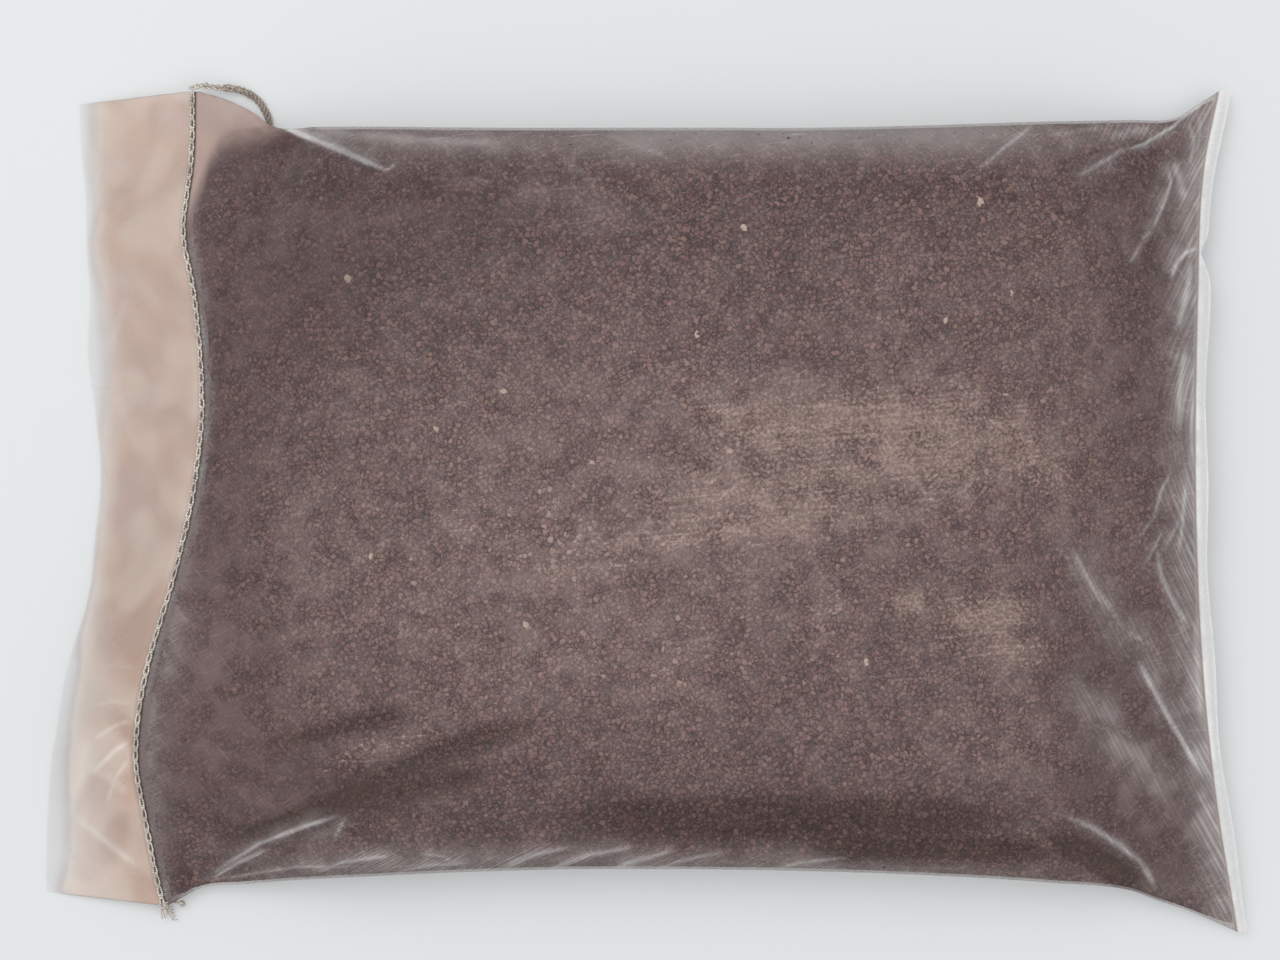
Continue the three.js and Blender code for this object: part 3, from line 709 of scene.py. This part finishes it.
def creased(x, y):
    # how far each crease raises the sheet, how far the valleys lower it, and how far the film has whitened,
    # as stress whitening with a painted highlight along the ridge
    raised, sunk, white = np.zeros(np.shape(x)), np.zeros(np.shape(x)), np.zeros(np.shape(x))
    for line, wide, high, pale in film["creases"]:
        d, s, side = nearLine(x, y, line)
        taper = smooth(np.minimum(s, 1 - s), -0.03, 0.22)
        bend = high * np.exp(-(d / wide) ** 2) * taper
        if high > 0:
            raised = raised + bend
        else:
            sunk = sunk + bend
        around = np.where(side > 0, 2.8, 1.0) * wide  # whitening and painted highlight spread further out on one side
        fade = 0.7 * np.exp(-(d / (0.4 * wide)) ** 2) + 0.3 * np.exp(-(d / around) ** 2)
        white = np.maximum(white, pale * fade * taper)
    return raised, sunk, white


def sheetTop(u, v):
    # the upper sheet over the fill: its place, the height the gravel lies under, and its whitening with
    # painted highlight
    x, y, top, under = bodyFilm(u, v)
    fromSeam, fromSeal = u * bag["length"], (1 - u) * bag["length"]
    held = heldAtSides(v)
    near = smooth(fromSeam, 0, 12) * smooth(fromSeal, 0, 5) * held
    inside = smooth(fromSeam, 0, 25) * smooth(fromSeal, 0, 12) * held
    raised, sunk, white = creased(x, y)
    atEnd = smooth(fromSeam, bag["length"] - 70, bag["length"] - 15)
    slope = np.clip(smooth(np.abs(v), 0.72, 0.97) + atEnd, 0, 1)
    rough = ripple(x, y, film["puckers"]) * slope * 0.8 + ripple(x, y, film["waves"])
    level = top + sunk * near + rough * inside
    return x, y, level + raised * near, level, under, white


def sheetRows():
    return ([("flap", t) for t in np.linspace(0, 1, film["alongFlap"] + 1)]
            + [("seam", aside) for aside in (-2.4, -1.2, 0, 1.2, 2.4)]
            + [("body", u) for u in crowded(film["alongBody"], 0.7)]
            + [("skirt", t) for t in np.linspace(0, 1, film["alongSkirt"] + 1)])


def mapSheet(sheet, along, over, upper):
    # each sheet takes half of the map
    uv = sheet.data.uv_layers.active or sheet.data.uv_layers.new()
    uv.name = "OFBake"
    corner = np.zeros(len(sheet.data.loops), np.int32)
    sheet.data.loops.foreach_get("vertex_index", corner)
    half = (0.51 if upper else 0.01) + 0.48 * over
    flat = np.stack(np.broadcast_arrays(0.01 + 0.98 * along, half), -1)
    uv.data.foreach_set("uv", flat.transpose(1, 0, 2).reshape(-1, 2)[corner].ravel().astype(np.float32))


def laySheet(name, x, y, z, upper):
    # a grid as fine as the places, moved onto them
    fresh()
    bpy.ops.mesh.primitive_grid_add(x_subdivisions=x.shape[0] - 1, y_subdivisions=x.shape[1] - 1, size=1)
    sheet = bpy.context.object
    sheet.name = sheet.data.name = name
    sheet.data.vertices.foreach_set("co", toFrame(x, y, z).transpose(1, 0, 2).ravel())
    sheet.data.update()
    if not upper:
        bpy.ops.object.mode_set(mode="EDIT")
        bpy.ops.mesh.select_all(action="SELECT")
        bpy.ops.mesh.flip_normals()
        bpy.ops.object.mode_set(mode="OBJECT")
    return sheet


def paint(sheet, facts):
    # facts by place of the grid, kept on the mesh for its finish
    shape = np.broadcast_shapes(*map(np.shape, facts.values()))
    for key, value in facts.items():
        layer = sheet.data.attributes.new(key, "FLOAT", "POINT")
        layer.data.foreach_set("value", np.broadcast_to(value, shape).T.ravel().astype(np.float32))


def layFilm(name, across, upper):
    v = 2 * crowded(across, 0.75) - 1
    rows = sheetRows()
    x, y, z, white = (np.zeros((len(rows), len(v))) for _ in range(4))
    for k, (where, t) in enumerate(rows):
        if where == "body":
            x[k], y[k], top, _, under, pale = sheetTop(t, v)
            white[k] = pale * upper
        else:
            x[k], y[k], top, under = {"flap": flapFilm, "seam": seamFilm, "skirt": skirtFilm}[where](t, v)
            if where == "flap":
                raised, _, pale = creased(x[k], y[k])
                loose = math.sin(math.pi * t) ** 0.5 * heldAtSides(v)
                lift = (ripple(x[k], y[k], film["flapWaves"]) + 0.6 * raised) * loose
                top, under = top + lift, under + 0.8 * lift
                white[k] = pale * upper
        z[k] = np.maximum(top, 0.35) if upper else np.maximum(under, 0.0)
    sheet = laySheet(name, x, y, z, upper)

    part = np.array([p for p, _ in rows])[:, None]
    share = np.array([t for _, t in rows])[:, None]
    body, flap, seam, skirt = (part == kind for kind in ("body", "flap", "seam", "skirt"))
    u = np.where(body, share, np.where(skirt, 1.0, 0.0))
    fromSeam, fromSeal = u * bag["length"], (1 - u) * bag["length"]
    fromSide = (1 - np.abs(v[None])) * bag["halfWidth"]
    past = np.where(seam, smooth(share, -1.5, 1.5), body * 1.0)  # 0 on the flap, 1 past the stitches
    outside = pastGravel(x, y)
    slack = smooth(outside, -15, 11) * (x < film["cornerEnd"])
    dust, grey, dark = (strokesAt(x, y, film[kind]) * upper for kind in ("dust", "greys", "darks"))

    # grey film at the sides, by the seal and where it slopes: haze, and a painted reflection where the film
    # is seen at a slant
    lowBand = (1 - smooth(fromSide, 2, film["rimLow"])) * smooth(x, 0, 70)
    lowBand = lowBand * (0.85 - 0.55 * smooth(x, 380, 520))
    highBand = (1 - smooth(fromSide, 1, film["rimHigh"])) * smooth(x, 50, 75)
    highBand = highBand * (0.9 - 0.25 * smooth(x, 150, 420))
    fold = 0.62 + 0.38 * np.clip(ripple(x, y, film["rimFolds"]), -1, 1)
    bands = np.where(v[None] < 0, lowBand, highBand) * fold
    bySeal = 0.95 * np.exp(-(fromSeal / 19) ** 2)
    rim = np.maximum(bands, np.maximum(bySeal, grey)) * body * (1 - slack)
    places = np.stack([x, y, z], -1)
    normal = np.cross(np.gradient(places, axis=0), np.gradient(places, axis=1))
    level = np.abs(normal[..., 2]) / np.maximum(np.linalg.norm(normal, axis=-1), 1e-9)
    # greyer where the film slopes away, a painted reflection of the film seen at a slant
    steep = 0.75 * smooth(1 - level, 0.04, 0.75) * body * (1 - slack)
    lines, ends, atEnd = pulledAcross(x, y)
    pulled = np.where(v[None] < 0, lerp(0.9, 0.55, atEnd), lerp(0.2, 0.55, smooth(x, 470, 530)))

    # dull film by the seam, painted shade over the empty corner with a soft band along the gravel's edge, and
    # shade under the stitches
    bySeam = 0.55 * np.exp(-((fromSeam - 8) / 9) ** 2) * (1 - smooth(v[None], 0.3, 0.7))
    veil = np.maximum(np.clip(spotsAt(x, y, film["veils"]), 0, 1), bySeam) * body
    corner = np.maximum(np.exp(-((outside + 4) / 15) ** 2), 0.5 * slack) * (x < 75) * (body | seam) * past
    underStitch = seam * 0.7 * np.exp(-((share - 1.1) / 0.9) ** 2)

    # the flap is clear at its open edge, then pale, then rose; on the lower side it stays pale further in and
    # covers more, as painted light
    edgeBand = curveThrough(film["hem"])(v[None])
    fromEdge = share * (bag["flap"] - bag["seamLand"]) + 1.5 * ripple(x, y, film["flapWaves"])
    cloudy = smooth(fromEdge, edgeBand - 4, edgeBand * 1.5 + 6)
    paleTo = 0.28 + 0.6 * smooth(-v[None], 0.15, 0.5)
    bentX, bentY = x + 11 * np.sin(y / 19), y + 9 * np.sin(x / 13 + y / 41)
    paint(sheet, {
        "steep": np.maximum(steep, rim), "pulled": pulled, "lines": lines, "ends": ends, "atEnd": atEnd,
        "stress": white, "shade": np.maximum(dark * body, underStitch), "veil": veil,
        "corner": corner * upper,
        "dust": dust + spotsAt(x, y, film["dustSpots"]) * body * upper, "haze": hazeAt(x, y) * body,
        # the lower side of the flap covers more, painted light
        "tint": np.where(flap, cloudy * (1 + 0.5 * smooth(-v[None], -0.1, 0.75)),
                         np.maximum(1 - past, slack * past) * (seam | body)),
        "blush": np.where(flap, smooth(share - 0.012 * edgeBand, -0.05, paleTo), 1.0),
        "drape": 0.5 + ripple(bentX, bentY, film["patches"]),
        "cloud": 0.5 + ripple(bentX, bentY, film["clouds"]),
        "stain": past * (1 - slack) * (1 - smooth(fromSeam, 1, 8)) * (seam | body),
        "seal": np.exp(-(fromSeal / 1.2) ** 2) * body,
        "skirt": np.where(flap, 0.1 * (1 - cloudy), skirt * 1.0),
        "glint": np.maximum(1 - smooth(share, 0.1, 0.4), smooth(share, 0.75, 1.0)) * skirt,
    })
    mapSheet(sheet, (x - x.min()) / (x.max() - x.min()), (v[None] + 1) / 2, upper)
    return sheet


def filmFinish():
    desk = Finish("clearFilm")
    spot = desk.node("ShaderNodeTexCoord", out="Object")
    steep, pulled, lines, ends, atEnd = map(desk.attribute, ("steep", "pulled", "lines", "ends", "atEnd"))
    stress, shade, veil, corner = map(desk.attribute, ("stress", "shade", "veil", "corner"))
    dust, haze, tint, blush, drape = map(desk.attribute, ("dust", "haze", "tint", "blush", "drape"))
    cloud, stain, seal, skirt, glint = map(desk.attribute, ("cloud", "stain", "seal", "skirt", "glint"))

    fine = desk.noise(spot, 60.0, 1.0)
    grit = desk.noise(spot, 500.0, 1.0)
    rub = desk.streaks(spot, -0.09, (26.0, 560.0, 150.0), 1.0)  # rubbed along the bag
    scratches = [desk.between(desk.streaks(spot, turn, (55.0, 1100.0, 300.0), 0.0), 0.663, 0.786)
                 for turn in (0.9, -0.6)]
    combs = [desk.node("ShaderNodeTexNoise", {"noise_dimensions": "1D"}, {"W": way * often, "Detail": rough},
                       out="Fac") for way, often, rough in ((lines, 0.3, 2.0), (ends, 0.1, 0.6))]
    comb = combs[0] * (1 - atEnd) + combs[1] * atEnd
    streak = desk.between(comb, 0.4, 0.66) * desk.between(fine, 0.3, 0.6, 0.35, 1.0)
    streak = streak * desk.between(tint, 0.0, 0.5, 1.0, 0.0) * pulled

    # how much each thing covers
    powder = desk.between(dust + (rub - 0.5) * 0.7 + (fine - 0.5) * 1.1, 0.12, 1.0)
    flecks = desk.between(dust * 0.75 + (grit - 0.5) * 3.0, 0.45, 0.85) * desk.between(dust, 0.08, 0.4)
    smear = powder * 0.4 + flecks * 0.65
    marks = ((scratches[0] + scratches[1]) * (0.13 + 0.16 * veil) + desk.between(rub, 0.67, 0.76) * 0.14
             + desk.between(grit, 0.72, 0.8) * 0.14)
    mottle = desk.between(fine, 0.3, 0.7, 0.5, 1.45)
    soiled = stain * desk.between(fine * 0.4 + grit * 0.6, 0.38, 0.62, 0.12, 0.62)
    alpha = 0.03 + 0.045 * blush + haze * 0.1 * mottle + marks * (1 - tint) * blush + shade * 0.7
    alpha = alpha + veil * mottle * 0.4 + steep * (0.46 - 0.2 * pulled + 0.4 * streak) + smear * 0.3
    alpha = alpha + stress * (0.4 + 0.45 * streak) + soiled + seal * 0.4 + corner * 0.55 + skirt * 0.34
    alpha = alpha + tint * desk.between(drape * 0.5 + cloud * 0.5, 0.35, 0.65, 0.27, 0.46)
    alpha = alpha + glint * desk.between(fine, 0.42, 0.62, 0.02, 0.42)
    alpha = desk.node("ShaderNodeClamp", {}, {"Value": alpha, "Min": 0.03, "Max": 0.93})

    tones = film["tones"]
    brown = desk.colour(desk.between(fine, 0.3, 0.7), *tones["brown"])
    tan = desk.colour(desk.between(rub, 0.3, 0.7), *tones["tan"])
    grey = desk.colour(streak + (1 - pulled) * 0.45, *tones["grey"])
    rose = desk.colour(desk.between(drape, 0.3, 0.7), *tones["rose"])
    rose = desk.colour(desk.between(cloud, 0.42, 0.62, 0.0, 0.7), rose, tones["cloud"])
    rose = desk.colour(blush, tones["openEdge"], rose)
    colour = desk.colour(desk.between(veil, 0.0, 0.5), brown, tones["veil"])
    colour = desk.colour(desk.between(smear, 0.0, 0.6), colour, tan)
    colour = desk.colour(steep * 0.8, colour, grey)
    colour = desk.colour(stain, desk.colour(tint, colour, rose), tones["stain"])
    # each cover below lays a tone over the colour: the empty corner with its painted shade, painted shade in
    # hollows and under the stitches, crease whitening with painted highlight, the seal line, the skirt, and
    # painted glints
    for cover, tone in ((desk.between(corner, 0.0, 0.4), desk.colour(tint, *tones["corner"])),
                        (desk.between(shade, 0.0, 0.25), tones["shade"]),
                        (desk.between(stress, 0.0, 0.4), desk.colour(tint, *tones["crease"])),
                        (seal * 0.8, tones["seal"]), (skirt, desk.colour(blush, *tones["skirt"])),
                        (glint, tones["glint"])):
        colour = desk.colour(cover, colour, tone)
    return desk.shader({"Base Color": colour, "Alpha": alpha, "Roughness": 0.34 + 0.2 * fine + 0.2 * smear,
                        "IOR": 1.5, "Normal": desk.bump(fine, 0.45, 0.004)})


def joined(sheets, finish):
    # one closed skin from the upper and the under sheet
    for sheet in sheets:
        sheet.data.materials.append(finish)
        smoothShade(sheet)
    joinInto(sheets[0], sheets[1:])
    bpy.ops.object.mode_set(mode="EDIT")
    bpy.ops.mesh.select_all(action="SELECT")
    bpy.ops.mesh.remove_doubles(threshold=2e-6)
    bpy.ops.object.mode_set(mode="OBJECT")
    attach(sheets[0], "root")
    return sheets[0]


def makeFilm():
    sheets = [layFilm("filmBag", film["acrossTop"], True), layFilm("underSheet", film["acrossUnder"], False)]
    skin = joined(sheets, filmFinish())
    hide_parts("film_bag")
    print("film of", len(skin.data.polygons), "faces")


makeFilm()

# gravel: a bed laid under the film in place of the imported fill, and single grains pressed against it
gravel = {
    "along": 260, "across": 170, "below": 2.1, "beside": 0.9, "least": 0.7, "grain": 0.0029,
    "tones": [(0.0, (0.046, 0.026, 0.027)), (0.25, (0.098, 0.056, 0.057)), (0.55, (0.172, 0.104, 0.103)),
              (0.82, (0.265, 0.168, 0.158)), (0.95, (0.37, 0.24, 0.205)), (1.0, (0.46, 0.34, 0.29))],
    "gapShade": (0.018, 0.010, 0.011), "pink": (0.30, 0.155, 0.15), "sand": (0.30, 0.205, 0.15),
    "ash": (0.125, 0.10, 0.105), "cream": (0.56, 0.43, 0.35),
    # pale grains that stand out: place, length
    "pale": [(96, 129, 6), (328, 159, 4.5), (464, 173, 6.5), (182, 63, 4.5), (236, 21, 4), (211, -73, 4.5),
             (404, -94, 4.5), (444, 104, 4.5), (113, -33, 3.5), (298, 96, 4), (317, 28, 4), (142, 41, 4),
             (484, 119, 3.5)],
    "paleLot": 1.7,  # past the range of the tones
    "spacing": 5.7, "astray": 0.24, "size": (2.9, 0.5), "form": (1.15, 0.88, 0.62), "lumps": 0.14,
    "underFilm": 0.35,  # least space between a grain and the film
}


def byKind(desk, kind, tone):
    # most stones are mauve, some are ashen, some pink and a few sandy
    tone = desk.colour(desk.between(kind, 0.35, 0.0, 0.0, 0.55), tone, gravel["ash"])
    tone = desk.colour(desk.between(kind, 0.6, 0.8, 0.0, 0.35), tone, gravel["pink"])
    return desk.colour(desk.between(kind, 0.88, 0.97, 0.0, 0.4), tone, gravel["sand"])


def gravelFinish():
    desk = Finish("gravelStone")
    spot = desk.node("ShaderNodeTexCoord", out="Object")
    dusty = desk.attribute("dusty")
    wander = desk.node("ShaderNodeTexNoise", {}, {"Vector": spot, "Scale": 420.0, "Detail": 0.0}, out="Color")
    bent = desk.node("ShaderNodeVectorMath", {"operation": "MULTIPLY_ADD"},
                     {0: wander, 1: (0.0022, 0.0022, 0.0022), 2: spot})
    scale = 1 / gravel["grain"]
    cell = desk.node("ShaderNodeTexVoronoi", {}, {"Vector": bent, "Scale": scale}, out="Color")
    rim = desk.node("ShaderNodeTexVoronoi", {"feature": "DISTANCE_TO_EDGE"}, {"Vector": bent, "Scale": scale},
                    out="Distance")
    lot = desk.node("ShaderNodeSeparateColor", {}, {"Color": cell}, out="Red")
    turn, kind = lot.other("Green"), lot.other("Blue")
    broad = desk.noise(spot, 16.0, 2.0)
    pale = 0.04 + lot * 0.52 + turn * 0.1 + dusty * 0.28 + desk.between(broad, 0.3, 0.7, -0.09, 0.09)
    tone = desk.node("ShaderNodeValToRGB", {"stops": gravel["tones"]}, {"Fac": pale}, out="Color")
    # painted shade in the crevices between the grains
    colour = desk.colour(desk.between(rim, 0.0, 0.2, 0.15, 1.0), gravel["gapShade"], byKind(desk, kind, tone))
    return desk.shader({"Base Color": colour, "Roughness": 0.7 + 0.2 * turn, "Specular IOR Level": 0.3,
                        "Normal": desk.bump(cell.other("Distance") * -1.0, 0.6, 0.0016)})


def gravelRows():
    # each row of the bed reaches out to where the sheets are parted, and stops at the empty corner
    rows = []
    v = np.linspace(-1, 1, 801)
    for u in lerp(0.003, 0.997, crowded(gravel["along"], 0.6)):
        x, y, top, under = bodyFilm(u, v)
        filled = np.nonzero((top - under > gravel["least"]) & (pastGravel(x, y) < 1))[0]
        if len(filled) > 200:
            rows.append((u, v[filled[0]], v[filled[-1]]))
    return rows


def layGravel(name, rows, upper):
    share = crowded(gravel["across"], 0.7)
    x, y, z, dusty = (np.zeros((len(rows), len(share))) for _ in range(4))
    for k, (u, low, high) in enumerate(rows):
        v = lerp(low, high, share)
        x[k], y[k], cover, level, under, _ = sheetTop(u, v)
        top = np.minimum(cover, level)
        middle = (top + under) / 2
        drop = np.minimum(gravel["below"], 0.35 * (top - under))
        z[k] = top - drop if upper else under + drop
        z[k, 0], z[k, -1] = middle[0], middle[-1]
        if k in (0, len(rows) - 1):
            z[k] = middle
        y[k] -= gravel["beside"] * np.sign(y[k]) * np.abs(v) ** 8
        dusty[k] = hazeAt(x[k], y[k])
    sheet = laySheet(name, x, y, z, upper)
    paint(sheet, {"dusty": dusty})
    mapSheet(sheet, np.array([u for u, _, _ in rows])[:, None], share[None], upper)
    return sheet


def grainFinish():
    desk = Finish("grainStone")
    spot = desk.node("ShaderNodeTexCoord", out="Object")
    lot, kind = desk.attribute("lot"), desk.attribute("kind")
    pit = desk.noise(spot, 900.0, 2.0)
    tone = desk.node("ShaderNodeValToRGB", {"stops": gravel["tones"]},
                     {"Fac": lot + desk.between(pit, 0.3, 0.7, -0.06, 0.06)}, out="Color")
    tone = desk.colour(desk.between(lot, 1.1, 1.6), byKind(desk, kind, tone), gravel["cream"])
    return desk.shader({"Base Color": tone, "Roughness": 0.7 + 0.2 * pit, "Specular IOR Level": 0.3,
                        "Normal": desk.bump(pit, 0.4, 0.0006)})


def makeGrains():
    # one rough pebble, copied, turned and stretched all over the bed
    fresh()
    bpy.ops.mesh.primitive_ico_sphere_add(subdivisions=1, radius=0.5)
    grains = bpy.context.object
    grains.name = grains.data.name = "looseGrains"
    pebble = np.array([v.co for v in grains.data.vertices])
    faces = np.array([p.vertices for p in grains.data.polygons])

    step = gravel["spacing"]
    across, along = np.meshgrid(np.arange(-bag["halfWidth"], bag["halfWidth"], step * 0.866),
                                np.arange(4, bag["length"] - 4, step))
    along[:, ::2] += step / 2
    astray = gravel["astray"] * step
    u = (along + rng.normal(0, astray, along.shape)).ravel() / bag["length"]
    v = (across + rng.normal(0, astray, along.shape)).ravel() / bag["halfWidth"]
    spread = (np.abs(v) < 0.975) & (u > 0.006) & (u < 0.994)
    u, v = u[spread], v[spread]
    size = rng.normal(*gravel["size"], len(u))
    lot = 0.04 + rng.beta(1.5, 2.0, len(u)) * 0.7
    pale = np.array(gravel["pale"])
    u, v = np.r_[u, pale[:, 0] / bag["length"]], np.r_[v, pale[:, 1] / bag["halfWidth"]]
    size = np.r_[size, pale[:, 2]]
    x, y, cover, level, under, _ = sheetTop(u, v)
    lot = np.r_[lot + 0.25 * hazeAt(x, y)[:len(lot)], np.full(len(pale), gravel["paleLot"])]
    top = np.minimum(cover, level)
    keep = np.nonzero((pastGravel(x, y) < -4) & (top - under > 7))[0]
    x, y, top, size, lot, count = x[keep], y[keep], top[keep], size[keep], lot[keep], len(keep)

    turn = rng.uniform(0, 2 * math.pi, count)
    shape = pebble[None] * (1 + rng.normal(0, gravel["lumps"], (count, len(pebble), 1)))
    long, wide, high = np.moveaxis(shape * (size[:, None] * gravel["form"])[:, None], -1, 0)
    cos, sin = np.cos(turn)[:, None], np.sin(turn)[:, None]
    places = np.stack([long * cos - wide * sin + x[:, None], long * sin + wide * cos + y[:, None],
                       high + (top - 0.6 - 0.31 * size)[:, None]], -1)
    places[..., 2] = np.minimum(places[..., 2], top[:, None] - gravel["underFilm"])
    sides = (faces[None] + (np.arange(count) * len(pebble))[:, None, None]).reshape(-1, 3)
    grains.data.clear_geometry()
    grains.data.from_pydata(toFrame(*places.reshape(-1, 3).T).tolist(), [], sides.tolist())
    for key, value in (("lot", lot), ("kind", rng.uniform(0, 1, count))):
        layer = grains.data.attributes.new(key, "FLOAT", "POINT")
        layer.data.foreach_set("value", np.repeat(value, len(pebble)).astype(np.float32))

    # each grain has its own square of the map: upper faces on one half, lower faces on the other
    squares = math.ceil(math.sqrt(count))
    place = np.arange(count)
    low = pebble[faces].mean(1)[:, 2] < 0
    inner = pebble[faces][..., :2] * 0.84 + 0.5
    inner[..., 0] = inner[..., 0] / 2 + np.where(low, 0.5, 0.0)[:, None]
    cell = np.stack([place % squares, place // squares], -1)
    flat = (cell[:, None, None] + inner[None]) / squares
    grains.data.uv_layers.new(name="OFBake").data.foreach_set("uv", flat.ravel().astype(np.float32))
    grains.data.materials.append(grainFinish())
    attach(grains, "root")
    print("loose grains", count)


def makeGravel():
    rows = gravelRows()
    bed = joined([layGravel("gravelBed", rows, True), layGravel("gravelBase", rows, False)], gravelFinish())
    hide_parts("gravel_fill")
    print("gravel bed of", len(bed.data.polygons), "faces")


makeGravel()
makeGrains()

# floor and light
stage = {
    "floor": (0.60, 0.611, 0.615), "floorSize": 14, "floorLevel": -0.0006, "glow": 0.17,
    "daylight": (0.97, 0.99, 1.0), "sky": 0.66,
    # name, place, size, power
    "panels": [("keyPanel", (-0.8, 0.9, 2.5), 2.0, 29.0), ("fillPanel", (1.2, -1.0, 2.2), 2.0, 10.0)],
}


def setStage():
    fresh()
    bpy.ops.mesh.primitive_plane_add(size=stage["floorSize"], location=(0, 0, stage["floorLevel"]))
    floor = bpy.context.object
    floor.name = "paleFloor"
    desk = Finish("paleTable")
    spot = desk.node("ShaderNodeTexCoord", out="Object")
    shade = desk.noise(spot, 1.4, 2.0)
    tone = desk.colour(desk.between(shade, 0.3, 0.7), [c * 0.985 for c in stage["floor"]], stage["floor"])
    # pale to the eye, with no light of its own on the bag
    ray = desk.node("ShaderNodeLightPath", out="Is Camera Ray")
    seen = ray + ray.other("Is Glossy Ray") + ray.other("Is Transmission Ray")
    glow = desk.colour(seen, (0.0, 0.0, 0.0), stage["daylight"])
    floor.data.materials.append(desk.shader({"Base Color": tone, "Roughness": 0.6, "Specular IOR Level": 0.25,
                                             "Emission Color": glow, "Emission Strength": stage["glow"]}))

    world = bpy.data.worlds.new("paleRoom")
    world.use_nodes = True
    bpy.context.scene.world = world
    ground = world.node_tree.nodes["Background"]
    ground.inputs["Color"].default_value = (*stage["daylight"], 1)
    ground.inputs["Strength"].default_value = stage["sky"]

    for name, place, size, power in stage["panels"]:
        light = bpy.data.lights.new(name, "AREA")
        light.size, light.energy = size, power
        lamp = bpy.data.objects.new(name, light)
        lamp.location = place
        lamp.rotation_euler = (-Vector(place)).to_track_quat("-Z", "Y").to_euler()
        bpy.context.scene.collection.objects.link(lamp)
    bpy.context.scene.view_settings.view_transform = "Standard"
    print("floor and light set")


setStage()

bpy.context.view_layer.update()
